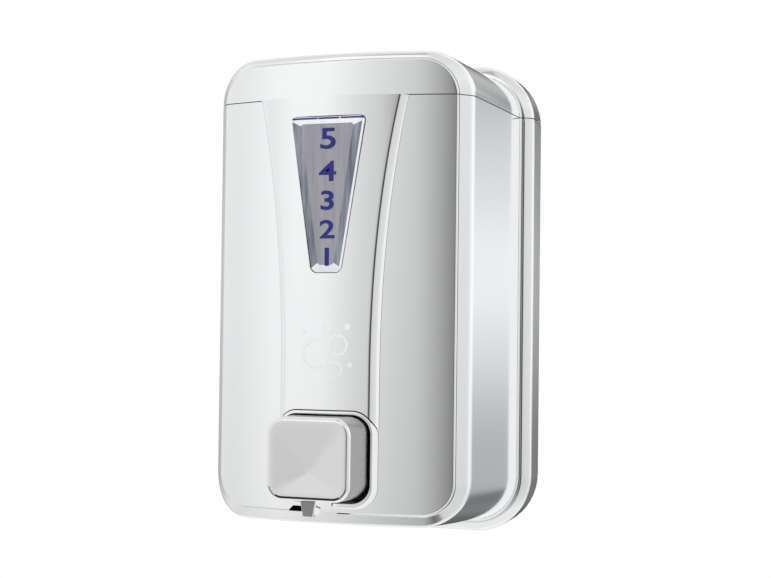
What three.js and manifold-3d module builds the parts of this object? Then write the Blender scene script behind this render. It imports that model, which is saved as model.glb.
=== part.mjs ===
// Wall-mounted foam soap dispenser with a thumb button.
// Millimetres. X is right, -Y is the front, +Z is up.
// The origin is on the wall plane, half way up the wall flange.

import * as THREE from 'three';
import { mergeVertices } from 'three/addons/utils/BufferGeometryUtils.js';
import Module from 'manifold-3d';

const wasm = await Module();
wasm.setup();

// Casing
const flange_width = 127;
const flange_height = 210;
const flange_side_lip = 5.5;
const flange_top_lip = 6.3;
const flange_bottom_lip = 10.2;
const flange_roll_width = 0.9;
const flange_roll_depth = 0.7;
const flange_draft = 0.4;
const flange_depth = 17.8;
const flange_top_radius = 27;
const flange_bottom_radius = 25.5;
const flange_wall_gap = 0.4;
const body_corner_radius = 18.6;
const rim_depth = 97.4;
const face_bow_radius = 180.6;
const rim_side_start = 42;
const rim_end_start = 4;
const rim_side_land_share = 0.58;
const rim_top_land_share = 0.04;
const rim_bottom_land_share = 0.72;
const side_draft = 0.9;
const underside_slope = 4.7;
const wall = 2.4;
const back_wall = 2.4;
const lid_height = 18.4;
const seam_gap = 0.36;
const fit_gap = 0.3;
const overrun = 4;
const block_depth = 12;

// Front panel and its ledge
const panel_step = 0.8;
const panel_thickness = 2.5;
const panel_side_border = 4.8;
const panel_top_border = 3.35;
const panel_bottom_border = 4.8;
const panel_top_radius = 15.6;
const panel_bottom_radius = 13.2;
const ledge_width = 6;
const ledge_thickness = 2.4;
const hook_width = 12;
const hook_thickness = 2;
const hook_reach = 2.2;
const notch_left = -17.7;
const notch_right = -4.2;
const notch_height = 2.1;
const notch_slant = 2.4;

// Strap
const strap_rise = 4.3;
const strap_edge_drop = 2.1;
const strap_bow_radius = 108;
const strap_half_width = 19.9;
const strap_flare = 9.9;
const strap_flare_length = 117.1;
const strap_flare_power = 2.2;
const strap_side_slope = 0.5;
const strap_top_rise = 2.6;
const strap_top_start = 6.2;
const strap_top_radius = 7.4;
const strap_top_side_radius = 4;
const strap_foot_drop = 9.9;

// Bezel round the button
const bezel_half_width = 20.9;
const bezel_height = 38.9;
const bezel_base = 7.5;
const bezel_corner_radius = 8.7;
const bezel_rise = 0.9;
const bezel_edge_radius = 1.1;
const bezel_side_slope = 0.16;
const bezel_side_lip = 1;
const bezel_top_lip = 1.4;
const bezel_bottom_lip = 1.9;
const bezel_opening_radius = 7.7;
const skirt_wall = 1.5;
const skirt_length = 14.5;

// Level window
const window_drop = 8.6;
const window_height = 63.8;
const window_half_top = 16.4;
const window_half_bottom = 6.4;
const window_corner_radius = 2.4;
const window_bevel = 3;
const window_proud = 0.5;
const window_bevel_depth = 1;
const window_flange = 3;
const window_flange_thickness = 1.6;
const gasket_thickness = 1;

// Button
const button_side_gap = 0.7;
const button_top_gap = 0.5;
const button_bottom_gap = 1.8;
const button_draft = 1.4;
const button_corner_radius = 6.9;
const button_proud = 16.6;
const button_tail = 3.9;
const button_wall = 1.8;
const button_face_thickness = 2.4;
const button_edge_radius = 1.8;
const dish_margin = 3.1;
const dish_depth = 1.4;
const dish_low_share = 0.32;
const hub_wall = 1.5;

// Nozzle and foam duct
const nozzle_setback = 1.3;
const nozzle_depth = 7.4;
const nozzle_reach = 5.9;
const nozzle_root = 2.7;
const nozzle_half_top = 3.45;
const nozzle_half_bottom = 2.35;
const nozzle_taper = 0.5;
const nozzle_bore_radius = 1.5;
const nozzle_side_room = 1.85;
const duct_half_width = 3.2;
const duct_depth = 6.5;
const duct_chamber_radius = 4.5;
const duct_face = 1.3;

// Pump
const stroke = 9;
const stroke_end_gap = 0.4;
const cartridge_radius = 7.2;
const cartridge_length = 8.6;
const cartridge_bore_radius = 5.2;
const cartridge_disc = 1.2;
const mesh_hole_radius = 0.8;
const mesh_hole_circle = 3;
const mesh_holes = 6;
const air_bore_radius = 13.5;
const air_wall = 2;
const air_length = 40;
const housing_flange_radius = 19;
const housing_flange_thickness = 3.4;
const liquid_bore_radius = 5;
const liquid_wall = 1.5;
const liquid_inner_length = 11;
const liquid_outer_length = 20;
const cap_thickness = 2.4;
const cap_radius = 17;
const stem_radius = 3.4;
const stem_bore_radius = 2;
const stem_head_radius = 6;
const stem_head_thickness = 3;
const air_piston_room = 13;
const air_piston_disc = 2.7;
const air_piston_lip = 5;
const air_piston_lip_wall = 1;
const piston_hub_wall = 1.1;
const liquid_piston_length = 4;
const spring_radius = 9.5;
const spring_wire_radius = 0.7;
const spring_turns = 6;
const bracket_thickness = 3;
const bracket_half_width = 24;
const bracket_rise = 22;
const foot_length = 15;
const foot_thickness = 2.6;
const nut_length = 6;
const nut_radius = 19.4;
const pad_height = 1.5;
const pad_radius = 4;
const bracket_screw_spacing = 34;
const bracket_screw_shank = 1.5;
const bracket_screw_head = 3;
const bracket_screw_head_height = 2.2;
const bracket_screw_grip = 5.6;

// Inlet valve and tube
const port_inset = 6;
const nipple_radius = 5.5;
const nipple_bore_radius = 4;
const nipple_length = 13;
const nipple_roof = 0.9;
const port_slot = 1.3;
const seat_height = 2.1;
const seat_bore_radius = 1.6;
const ball_radius = 2;
const tube_radius = 4;
const tube_bore_radius = 2.6;
const tube_bend = 6.5;
const tube_drop = 1;
const sleeve_wall = 1.9;
const sleeve_length = 11;

// Reservoir
const tank_side_room = 5.6;
const tank_front_room = 11;
const tank_back_room = 4.1;
const tank_bottom_room = 7.5;
const tank_top_room = 5.8;
const tank_wall = 1.8;
const tank_corner_radius = 7;
const spigot_length = 5.5;
const shelf_width = 8;
const shelf_thickness = 3.2;

// Wall plate
const plate_side_margin = 12;
const plate_top_margin = 26.4;
const plate_bottom_margin = 10.8;
const plate_thickness = 3.2;
const plate_corner_radius = 8;
const plate_recess_gap = 2;
const plate_hole_radius = 2.3;
const plate_hole_margin = 12;
const plate_hole_rise = 20;
const hanger_inset = 16;
const hanger_drop = 42;
const hanger_half_width = 4;
const hanger_stem = 3;
const hanger_lip = 6;
const hanger_lip_thickness = 2.5;
const slot_drop = 10;
const body_screw_rise = 34;
const body_screw_shank = 1.8;
const body_screw_head = 3.8;
const body_screw_head_height = 2.2;

// Lid lock
const lock_reach = 36;
const barrel_radius = 6.2;
const barrel_bore_radius = 4.3;
const barrel_flange_radius = 8;
const barrel_flange_thickness = 1.3;
const lock_nut_radius = 9.6;
const lock_nut_height = 4.4;
const key_slot_width = 1.6;
const key_slot_length = 5;
const key_slot_depth = 4;
const cam_grip = 4;
const cam_half_width = 4.5;
const cam_thickness = 2.2;
const cam_rise = 3.5;
const cam_gap = 1.2;
const cam_screw_radius = 2.6;
const cam_screw_head_height = 1.6;
const cam_screw_shank = 1.2;
const cam_screw_length = 5;
const catch_half_width = 8;
const catch_post = 2.7;
const catch_length = 18.3;
const catch_hook_thickness = 2.4;
const catch_hook_length = 9.8;
const lip_wall = 1.6;
const lip_depth = 5;

// Mesh fineness
const corner_steps = 5;
const face_columns = 8;
const edge_steps = 3;
const nut_sides = 6;
const hole_sides = 8;
const tube_sides = 8;
const tube_steps = 26;
const spring_sides = 5;
const spring_steps_per_turn = 12;
const round_steps = 24;
const small_round_steps = 16;
const merge_distance = 1e-4;

// Casing places
const flange_half = flange_width / 2;
const body_half = flange_half - flange_side_lip;
const body_front_half = body_half - side_draft;
const body_top = flange_height / 2 - flange_top_lip;
const body_bottom = -flange_height / 2 + flange_bottom_lip;
const inner_half = body_half - wall;
const inner_top = body_top - wall;
const inner_bottom = body_bottom + wall;
const inner_corner_radius = body_corner_radius - wall;
const back_wall_back = plate_thickness + fit_gap;
const back_wall_front = back_wall_back + back_wall;
const seam_height = body_top - lid_height;
const seam_low = seam_height - seam_gap / 2;
const seam_high = seam_height + seam_gap / 2;

// Front places
const face_depth = rim_depth + panel_step;
const panel_half = body_front_half - panel_side_border;
const panel_top = body_top - panel_top_border;
const panel_bottom = body_bottom + panel_bottom_border;
const panel_bed_depth = face_depth - panel_thickness - fit_gap;
const ledge_back_depth = panel_bed_depth - ledge_thickness;
const strap_depth = face_depth + strap_rise;
const strap_edge_depth = strap_depth - strap_edge_drop;
const strap_flare_start = seam_height - strap_flare_length;
const strap_top = body_top + strap_top_rise;
const strap_top_back = flange_depth + strap_top_start;
const bezel_bottom = body_bottom + bezel_base;
const bezel_top = bezel_bottom + bezel_height;
const bezel_opening_half_width = bezel_half_width - bezel_side_lip;
const bezel_opening_top = bezel_top - bezel_top_lip;
const bezel_opening_bottom = bezel_bottom + bezel_bottom_lip;
const strap_foot = bezel_top - strap_foot_drop;
const skirt_end_depth = strap_depth - skirt_length;
const window_top = seam_height - window_drop;
const window_bottom = window_top - window_height;

// Button, nozzle and foam path places
const button_half_width = bezel_opening_half_width - button_side_gap - button_draft;
const button_top = bezel_opening_top - button_top_gap;
const button_bottom = bezel_opening_bottom + button_bottom_gap;
const button_face_depth = strap_depth + button_proud;
const button_back_depth = strap_depth - button_tail;
const nozzle_face_depth = button_face_depth - nozzle_setback;
const nozzle_bottom = button_bottom - nozzle_reach;
const nozzle_top = button_bottom + nozzle_root;
const nozzle_slot_half_width = nozzle_half_top + nozzle_side_room;
const duct_front_depth = button_face_depth - button_face_thickness - fit_gap;
const duct_rear_depth = duct_front_depth - duct_depth;
const duct_centre_depth = nozzle_face_depth - nozzle_depth / 2;
const cartridge_rear_depth = duct_rear_depth - fit_gap - cartridge_length;
const hub_radius = cartridge_radius + fit_gap;
const reach_depth = button_face_depth + overrun;

// Pump places: the stem's head stops just short of the housing's cap at the end of the stroke.
const pump_height = (button_top + button_bottom) / 2;
const stem_front_depth = cartridge_rear_depth - fit_gap;
const cap_front_depth = stem_front_depth - stem_head_thickness - stroke - stroke_end_gap;
const air_front_depth = cap_front_depth - cap_thickness - fit_gap;
const air_back_depth = air_front_depth - air_length;
const liquid_front_depth = air_back_depth + liquid_inner_length;
const liquid_back_depth = air_back_depth - liquid_outer_length;
const stem_back_depth = air_back_depth + air_wall;
const air_piston_depth = air_front_depth - air_piston_room;
const liquid_piston_front_depth = stem_back_depth + liquid_piston_length;
const bracket_depth = air_front_depth - housing_flange_thickness - 2 * fit_gap;
const bracket_top = pump_height + bracket_rise;
const port_depth = liquid_back_depth + port_inset;
const nipple_bottom = pump_height - nipple_length;
const nipple_bore_top = pump_height - liquid_bore_radius - nipple_roof;

// Reservoir, wall plate and lock places
const tank_half_width = inner_half - tank_side_room;
const tank_front_depth = ledge_back_depth - tank_front_room;
const tank_back_depth = back_wall_front + tank_back_room;
const tank_bottom = bracket_top + tank_bottom_room;
const tank_top = seam_height - tank_top_room;
const tube_back_depth = port_depth - 2 * tube_bend;
const tube_top = tank_bottom - spigot_length - fit_gap;
const plate_half_width = body_half - plate_side_margin;
const plate_top = body_top - plate_top_margin;
const plate_bottom = body_bottom + plate_bottom_margin;
const plate_hole_x = plate_half_width - plate_hole_margin;
const plate_hole_high = plate_top - plate_hole_margin;
const plate_hole_low = plate_bottom + plate_hole_rise;
const hanger_x = plate_half_width - hanger_inset;
const hanger_height = plate_top - hanger_drop;
const body_screw_height = plate_bottom + body_screw_rise;
const cam_top = seam_height + cam_rise;
const barrel_bottom = cam_top + 2 * fit_gap;
const catch_back = back_wall_front + fit_gap;
const catch_root = seam_height - catch_length;
const catch_hook_height = cam_top + cam_gap;
const catch_hook_reach = catch_back + catch_hook_length;
const lock_depth = catch_hook_reach + lock_reach;
const cam_length = lock_reach + cam_grip;

// Solids

function asSolid(geometry) {
  const plain = geometry.clone();
  plain.deleteAttribute('normal');
  plain.deleteAttribute('uv');
  const merged = mergeVertices(plain, merge_distance);
  const vertices = new Float32Array(merged.attributes.position.array);
  const triangles = new Uint32Array(merged.index.array);
  if (enclosed(vertices, triangles) < 0) {
    triangles.reverse();
  }
  const mesh = new wasm.Mesh({ numProp: 3, vertProperties: vertices, triVerts: triangles });
  return new wasm.Manifold(mesh);
}

// Six times the volume inside a closed mesh: it is negative when the faces point inwards.
function enclosed(vertices, triangles) {
  const corner = (i) => new THREE.Vector3().fromArray(vertices, 3 * triangles[i]);
  let sum = 0;
  for (let i = 0; i < triangles.length; i += 3) {
    sum += corner(i).dot(corner(i + 1).cross(corner(i + 2)));
  }
  return sum;
}

function asGeometry(shape) {
  const mesh = shape.getMesh();
  const geometry = new THREE.BufferGeometry();
  geometry.setAttribute('position', new THREE.BufferAttribute(mesh.vertProperties, 3));
  geometry.setIndex(new THREE.BufferAttribute(mesh.triVerts, 1));
  geometry.computeVertexNormals();
  return geometry;
}

function together(first, ...others) {
  return others.reduce((sum, next) => sum.add(next), first);
}

function box(left, right, back, front, low, high) {
  // back and front are depths from the wall towards the viewer.
  const geometry = new THREE.BoxGeometry(right - left, front - back, high - low);
  geometry.translate((left + right) / 2, -(back + front) / 2, (low + high) / 2);
  return asSolid(geometry);
}

// Lathe profiles are [radius, distance along the axis] pairs.
function turned(profile, steps = round_steps) {
  const points = profile.map(([radius, along]) => new THREE.Vector2(radius, along));
  return new THREE.LatheGeometry(points, steps);
}

// A turned piece whose axis points to the wall; the distances are depths from the wall.
function turnedInDepth(profile, x, z, steps = round_steps) {
  const geometry = turned(profile.map(([radius, depth]) => [radius, -depth]), steps);
  geometry.translate(x, 0, z);
  return asSolid(geometry);
}

// A turned piece whose axis is vertical; the distances are heights.
function turnedUpright(profile, x, depth, steps = round_steps) {
  const geometry = turned(profile, steps);
  geometry.rotateX(Math.PI / 2);
  geometry.translate(x, -depth, 0);
  return asSolid(geometry);
}

function rod(radius, back, front, x, z, steps = round_steps) {
  return turnedInDepth([[0, front], [radius, front], [radius, back], [0, back]], x, z, steps);
}

function post(radius, low, high, x, depth, steps = round_steps) {
  return turnedUpright([[0, low], [radius, low], [radius, high], [0, high]], x, depth, steps);
}

function ring(inner, outer, from, to) {
  return [[inner, from], [outer, from], [outer, to], [inner, to], [inner, from]];
}

// An outline is a list of [x, z] points: its first half runs along the lower side from left to
// right, and its second half runs back along the upper side, point above point.
function roundedOutline(half, low, high, bottom_radius, top_radius) {
  const side = (edge, radius, turn) => {
    const row = [];
    for (let i = 0; i <= corner_steps; i++) {
      const angle = (i / corner_steps) * Math.PI / 2;
      row.push([-half + radius - radius * Math.cos(angle), edge + turn * radius * (1 - Math.sin(angle))]);
    }
    for (let i = 1; i < face_columns; i++) {
      row.push([-half + radius + (2 * (half - radius) * i) / face_columns, edge]);
    }
    for (let i = corner_steps; i >= 0; i--) {
      const angle = (i / corner_steps) * Math.PI / 2;
      row.push([half - radius + radius * Math.cos(angle), edge + turn * radius * (1 - Math.sin(angle))]);
    }
    return row;
  };
  return [...side(low, bottom_radius, 1), ...side(high, top_radius, -1).reverse()];
}

// Rings of [x, y, z] points, joined one to the next, with ruled ends.
function loft(rings) {
  const count = rings[0].length;
  const half = count / 2;
  const last = (rings.length - 1) * count;
  const index = [];
  const quad = (a, b, c, d) => index.push(a, b, c, a, c, d);
  for (let r = 0; r + 1 < rings.length; r++) {
    for (let i = 0; i < count; i++) {
      const j = (i + 1) % count;
      quad(r * count + i, r * count + j, (r + 1) * count + j, (r + 1) * count + i);
    }
  }
  for (let i = 0; i + 1 < half; i++) {
    quad(i, count - 1 - i, count - 2 - i, i + 1);
    quad(last + i, last + i + 1, last + count - 2 - i, last + count - 1 - i);
  }
  const geometry = new THREE.BufferGeometry();
  geometry.setAttribute('position', new THREE.Float32BufferAttribute(rings.flat(2), 3));
  geometry.setIndex(index);
  return asSolid(geometry);
}

const flat = (depth) => () => -depth;
const bowed = (depth, radius = face_bow_radius) => (x) => -depth + (x * x) / (2 * radius);
const ringAt = (outline, surface) => outline.map(([x, z]) => [x, surface(x), z]);

// A straight block from depth back to depth front.
function prism(outline, back, front) {
  return loft([ringAt(outline, flat(back)), ringAt(outline, flat(front))]);
}

// A slab as wide and tall as asked, between two bowed surfaces.
function bowedSlab(back, front, half, low, high) {
  const columns = 2 * face_columns + 2 * corner_steps;
  const rows = [low, high].map((z) => {
    const xs = Array.from({ length: columns + 1 }, (_, i) => -half + (2 * half * i) / columns);
    return [...xs.map((x) => [x, front(x), z]), ...xs.reverse().map((x) => [x, back(x), z])];
  });
  return loft(rows);
}

function bodyOutline(inset) {
  return roundedOutline(
    body_front_half - inset, body_bottom + inset, body_top - inset,
    body_corner_radius - inset, body_corner_radius - inset,
  );
}

// Where the body meets the flange it is a little wider and its underside lies lower.
function bodyRootOutline(inset) {
  return roundedOutline(
    body_half - inset, body_bottom - underside_slope + inset, body_top - inset,
    flange_bottom_radius - flange_side_lip - inset, body_corner_radius - inset,
  );
}

function flangeOutline(inset) {
  return roundedOutline(
    flange_half - inset, -flange_height / 2 + inset, flange_height / 2 - inset,
    flange_bottom_radius - inset, flange_top_radius - inset,
  );
}

// Casing

// The rim is a roll between the body's outline and the panel's, with a land next to the panel. The
// land slopes like a chamfer on the sides, and it faces the front along the bottom and the top.
function rimRings(grow) {
  const outer = bodyOutline(-grow);
  const inner = panelOutline(-grow);
  return Array.from({ length: corner_steps + 2 }, (_, i) => outer.map(([x, z], k) => {
    const across = inner[k][0] - x;
    const along = inner[k][1] - z;
    const width = Math.hypot(across, along);
    const upright_share = (along / width) ** 2;
    const start = THREE.MathUtils.degToRad(
      THREE.MathUtils.lerp(rim_side_start, rim_end_start, upright_share),
    );
    const end_land = along > 0 ? rim_bottom_land_share : rim_top_land_share;
    const land = THREE.MathUtils.lerp(rim_side_land_share, end_land, upright_share);
    const angle = Math.PI / 2 + ((start - Math.PI / 2) * Math.min(i, corner_steps)) / corner_steps;
    const roll = (1 - land) / (1 - Math.sin(start));
    const inward = i > corner_steps ? 1 : roll * (1 - Math.sin(angle));
    const fall = i > corner_steps ? 0 : roll * (Math.cos(start) - Math.cos(angle)) + land * Math.tan(start);
    const ring_x = x + across * inward;
    return [ring_x, bowed(rim_depth + grow - width * fall)(ring_x), z + along * inward];
  }));
}

function casingBlock(grow) {
  const body = loft([
    ringAt(bodyRootOutline(-grow), flat(flange_depth / 2)),
    ringAt(bodyRootOutline(-grow), flat(flange_depth)),
    ...rimRings(grow),
  ]);
  const rings = [ringAt(flangeOutline(flange_draft - grow), flat(flange_wall_gap))];
  for (let i = 0; i <= edge_steps; i++) {
    const angle = (i / edge_steps) * Math.PI / 2;
    const inset = flange_roll_width * (1 - Math.cos(angle));
    const depth = flange_depth + grow - flange_roll_depth * (1 - Math.sin(angle));
    rings.push(ringAt(flangeOutline(inset - grow), flat(depth)));
  }
  return together(body, loft(rings));
}

function innerOutline(inset) {
  return roundedOutline(
    inner_half - inset, inner_bottom + inset, inner_top - inset,
    inner_corner_radius - inset, inner_corner_radius - inset,
  );
}

function casingHollow() {
  return loft([
    ringAt(innerOutline(0), flat(back_wall_front)),
    ringAt(innerOutline(0), bowed(ledge_back_depth)),
  ]);
}

function panelOutline(inset) {
  return roundedOutline(
    panel_half - inset, panel_bottom + inset, panel_top - inset,
    panel_bottom_radius - inset, panel_top_radius - inset,
  );
}

function plateOutline(grow) {
  return roundedOutline(
    plate_half_width + grow, plate_bottom - grow, plate_top + grow,
    plate_corner_radius + grow, plate_corner_radius + grow,
  );
}

function below(height) {
  return box(-flange_width, flange_width, -overrun, reach_depth, -flange_height, height);
}

function above(height) {
  return box(-flange_width, flange_width, -overrun, reach_depth, height, flange_height);
}

// The bed that the panel lies in, and the opening behind the panel inside its ledge.
function panelBed() {
  const bed = prism(panelOutline(-fit_gap), 0, reach_depth);
  const slab = bowedSlab(
    bowed(panel_bed_depth), flat(reach_depth), flange_half, -flange_height, flange_height,
  );
  return bed.intersect(slab);
}

function ledgeOpening() {
  return prism(panelOutline(ledge_width), ledge_back_depth - 2 * block_depth, reach_depth);
}

function notch(back) {
  const shape = new THREE.Shape([
    new THREE.Vector2(notch_left, panel_bottom - fit_gap),
    new THREE.Vector2(notch_right, panel_bottom - fit_gap),
    new THREE.Vector2(notch_right, panel_bottom + notch_height),
    new THREE.Vector2(notch_left + notch_slant, panel_bottom + notch_height),
  ]);
  const geometry = new THREE.ExtrudeGeometry(shape, { depth: reach_depth - back, bevelEnabled: false });
  geometry.rotateX(Math.PI / 2);
  geometry.translate(0, -back, 0);
  return asSolid(geometry);
}

function casing() {
  const plate_recess = prism(plateOutline(plate_recess_gap), -overrun, back_wall_back);
  return casingBlock(0)
    .subtract(casingHollow())
    .subtract(plate_recess)
    .subtract(panelBed())
    .subtract(ledgeOpening());
}

const hanger_sides = [-1, 1];

function hangerSlots() {
  return hanger_sides.map((side) => box(
    side * hanger_x - hanger_half_width - fit_gap, side * hanger_x + hanger_half_width + fit_gap,
    0, back_wall_front + overrun,
    hanger_height - slot_drop, hanger_height + hanger_stem + fit_gap,
  ));
}

function bracketScrewPlaces() {
  return [-1, 1].map((side) => side * bracket_screw_spacing / 2);
}

function bodyShell() {
  let shell = casing().intersect(below(seam_low));
  shell = hangerSlots().reduce((rest, slot) => rest.subtract(slot), shell);
  shell = shell.subtract(
    rod(body_screw_shank + fit_gap, 0, back_wall_front + overrun, 0, body_screw_height, small_round_steps),
  );
  shell = shell.subtract(notch(ledge_back_depth - overrun)).subtract(skirtCut());
  for (const side of [-1, 1]) {
    const edge = side * (inner_half + wall / 2);
    const inside = side * (inner_half - shelf_width);
    shell = shell.add(box(
      Math.min(edge, inside), Math.max(edge, inside), tank_back_depth + overrun, tank_front_depth - overrun,
      tank_bottom - fit_gap - shelf_thickness, tank_bottom - fit_gap,
    ));
  }
  const foot_depth = bracket_depth - bracket_thickness - foot_length / 2;
  for (const x of bracketScrewPlaces()) {
    const pad_top = inner_bottom + pad_height;
    shell = shell.add(post(pad_radius, inner_bottom - wall / 2, pad_top, x, foot_depth, small_round_steps));
    shell = shell.subtract(post(
      bracket_screw_shank + fit_gap, pad_top - bracket_screw_grip + foot_thickness,
      pad_top + overrun, x, foot_depth, small_round_steps,
    ));
  }
  const root = box(
    -catch_half_width, catch_half_width, back_wall_front - back_wall / 2, catch_back + catch_post,
    catch_root, seam_low - lip_depth,
  );
  const riser = box(
    -catch_half_width, catch_half_width, catch_back, catch_back + catch_post,
    catch_root, catch_hook_height + catch_hook_thickness,
  );
  const hook = box(
    -catch_half_width, catch_half_width, catch_back, catch_hook_reach,
    catch_hook_height, catch_hook_height + catch_hook_thickness,
  );
  return together(shell, root, riser, hook);
}

function lidShell() {
  let lid = casing().intersect(above(seam_high));
  const lipBlock = (inset, low, high) => {
    const outline = innerOutline(inset);
    const block = loft([
      ringAt(outline, flat(back_wall_front + inset)),
      ringAt(outline, bowed(ledge_back_depth - inset)),
    ]);
    return block.intersect(below(high)).intersect(above(low));
  };
  const lip_low = seam_low - lip_depth;
  const lip_high = seam_high + lip_depth;
  let lip = together(
    lipBlock(fit_gap, lip_low, seam_high + fit_gap),
    lipBlock(-fit_gap, seam_high + fit_gap / 2, lip_high),
  );
  lip = lip.subtract(lipBlock(fit_gap + lip_wall, lip_low - overrun, lip_high + overrun));
  const catch_room = catch_half_width + 2 * fit_gap;
  lip = lip.subtract(box(-catch_room, catch_room, back_wall_back, catch_hook_reach + overrun,
    lip_low - overrun, seam_high + fit_gap));
  lip = lip.subtract(box(-catch_room, catch_room, back_wall_front, catch_hook_reach + overrun,
    lip_low - overrun, lip_high + overrun));
  lid = lid.add(lip);
  return lid.subtract(post(
    barrel_radius + fit_gap, catch_hook_height, strap_top + overrun, 0, lock_depth,
  ));
}

// Front panel and strap

function strapHalf(height) {
  const reach = seam_height - strap_flare_start;
  const rise = Math.min(Math.max((height - strap_flare_start) / reach, 0), 1);
  return strap_half_width + strap_flare * rise ** strap_flare_power;
}

// The strap's outline at a depth: its sides lean outwards towards the panel.
function strapOutline(depth, grow, low, high, stations) {
  const lean = (strap_edge_depth - depth) * strap_side_slope + grow;
  const heights = Array.from({ length: stations + 1 }, (_, i) => low + ((high - low) * i) / stations);
  const right = heights.map((z) => [strapHalf(z) + lean, z]);
  const left = heights.map((z) => [-strapHalf(z) - lean, z]);
  return [...right, ...left.reverse()];
}

function strapBlock(grow, low, high) {
  const back = face_depth - block_depth;
  const front = strap_depth + overrun;
  const stations = face_columns;
  const sides = loft([back, front].map(
    (depth) => ringAt(strapOutline(depth, grow, low, high, stations), flat(depth)),
  ));
  const slab = bowedSlab(
    flat(0), bowed(strap_depth + grow, strap_bow_radius), flange_half, -flange_height, flange_height,
  );
  return sides.intersect(slab);
}

function bezelOutline(inset) {
  return roundedOutline(
    bezel_half_width - inset, bezel_bottom + inset, bezel_top - inset,
    bezel_corner_radius - inset, bezel_corner_radius - inset,
  );
}

function openingOutline(grow) {
  return roundedOutline(
    bezel_opening_half_width + grow, bezel_opening_bottom - grow, bezel_opening_top + grow,
    bezel_opening_radius + grow, bezel_opening_radius + grow,
  );
}

function windowOutline(grow) {
  const half_low = window_half_bottom + grow;
  const half_high = window_half_top + grow;
  const low = window_bottom - grow;
  const high = window_top + grow;
  const radius = window_corner_radius + Math.max(grow, -window_corner_radius / 2);
  const lower = [];
  const upper = [];
  for (let i = 0; i <= edge_steps; i++) {
    const angle = (i / edge_steps) * Math.PI / 2;
    const across = radius * (1 - Math.cos(angle));
    const down = radius * (1 - Math.sin(angle));
    const lean = ((half_high - half_low) * down) / (high - low);
    lower.push([-half_low + across - lean, low + down]);
    upper.push([-half_high + across + lean, high - down]);
  }
  const mirrored = (row) => [...row, ...row.map(([x, z]) => [-x, z]).reverse()];
  return [...mirrored(lower), ...mirrored(upper).reverse()];
}

function panelBlock(grow, thickness_grow) {
  return prism(panelOutline(-grow), 0, reach_depth).intersect(bowedSlab(
    bowed(face_depth - panel_thickness - thickness_grow), bowed(face_depth + thickness_grow),
    flange_half, -flange_height, flange_height,
  ));
}

// Everything from the wall to just in front of the panel's face.
function behindPanelFace() {
  return bowedSlab(
    flat(0), bowed(face_depth + fit_gap), flange_half, -flange_height, flange_height,
  );
}

function skirtCut() {
  return prism(openingOutline(skirt_wall + fit_gap), 0, reach_depth);
}

function panelHooks() {
  const places = [-1, 1].flatMap((side) => [-1, 1].map((end) => [side, end]));
  return places.map(([side, end]) => {
    const edge = panel_half - ledge_width - fit_gap;
    const height = end > 0 ? seam_height / 2 : -seam_height / 2;
    const sagged = (edge * edge) / (2 * face_bow_radius);
    const root = panel_bed_depth - sagged + panel_thickness / 2;
    const barb_front = ledge_back_depth - sagged - 2 * fit_gap;
    const barb_back = barb_front - hook_thickness;
    const span = [height - hook_width / 2, height + hook_width / 2];
    const stalk = [edge - hook_thickness, edge];
    const barb = [edge - hook_thickness, edge + hook_reach];
    const place = (pair) => (side > 0 ? pair : [-pair[1], -pair[0]]);
    return together(
      box(...place(stalk), barb_back, root, ...span),
      box(...place(barb), barb_back, barb_front - hook_thickness / 2, ...span),
    );
  });
}

function frontPanel() {
  let panel = panelBlock(0, 0).intersect(below(seam_low));
  panel = together(panel, ...panelHooks());
  return panel
    .subtract(skirtCut())
    .subtract(prism(windowOutline(fit_gap), 0, reach_depth))
    .subtract(notch(0));
}

function frontStrap() {
  return strapBlock(0, strap_foot, seam_low)
    .subtract(behindPanelFace())
    .subtract(bezelBlock(fit_gap))
    .subtract(prism(windowOutline(fit_gap), 0, reach_depth));
}

// The frame's outer block: its sides lean a little and its front edge is rounded.
function bezelBlock(grow) {
  const ring_front = strap_depth + bezel_rise;
  const base = face_depth - block_depth / 2;
  const lean = (ring_front - base) * bezel_side_slope;
  const rings = [ringAt(bezelOutline(-lean - grow), flat(base))];
  for (let i = 0; i <= edge_steps; i++) {
    const angle = (i / edge_steps) * Math.PI / 2;
    rings.push(ringAt(
      bezelOutline(bezel_edge_radius * (1 - Math.cos(angle)) - grow),
      bowed(ring_front - bezel_edge_radius * (1 - Math.sin(angle)) + grow, strap_bow_radius),
    ));
  }
  return loft(rings);
}

function buttonBezel() {
  const frame = bezelBlock(0).subtract(behindPanelFace());
  const collar = prism(openingOutline(skirt_wall), skirt_end_depth, strap_edge_depth);
  const slot_low = bezel_bottom - overrun;
  return together(frame, collar)
    .subtract(prism(openingOutline(0), 0, reach_depth))
    .subtract(box(
      -nozzle_slot_half_width, nozzle_slot_half_width, face_depth + fit_gap, reach_depth,
      slot_low, bezel_opening_bottom + overrun,
    ));
}

function lidPanel() {
  return panelBlock(0, 0).intersect(above(seam_high));
}

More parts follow.
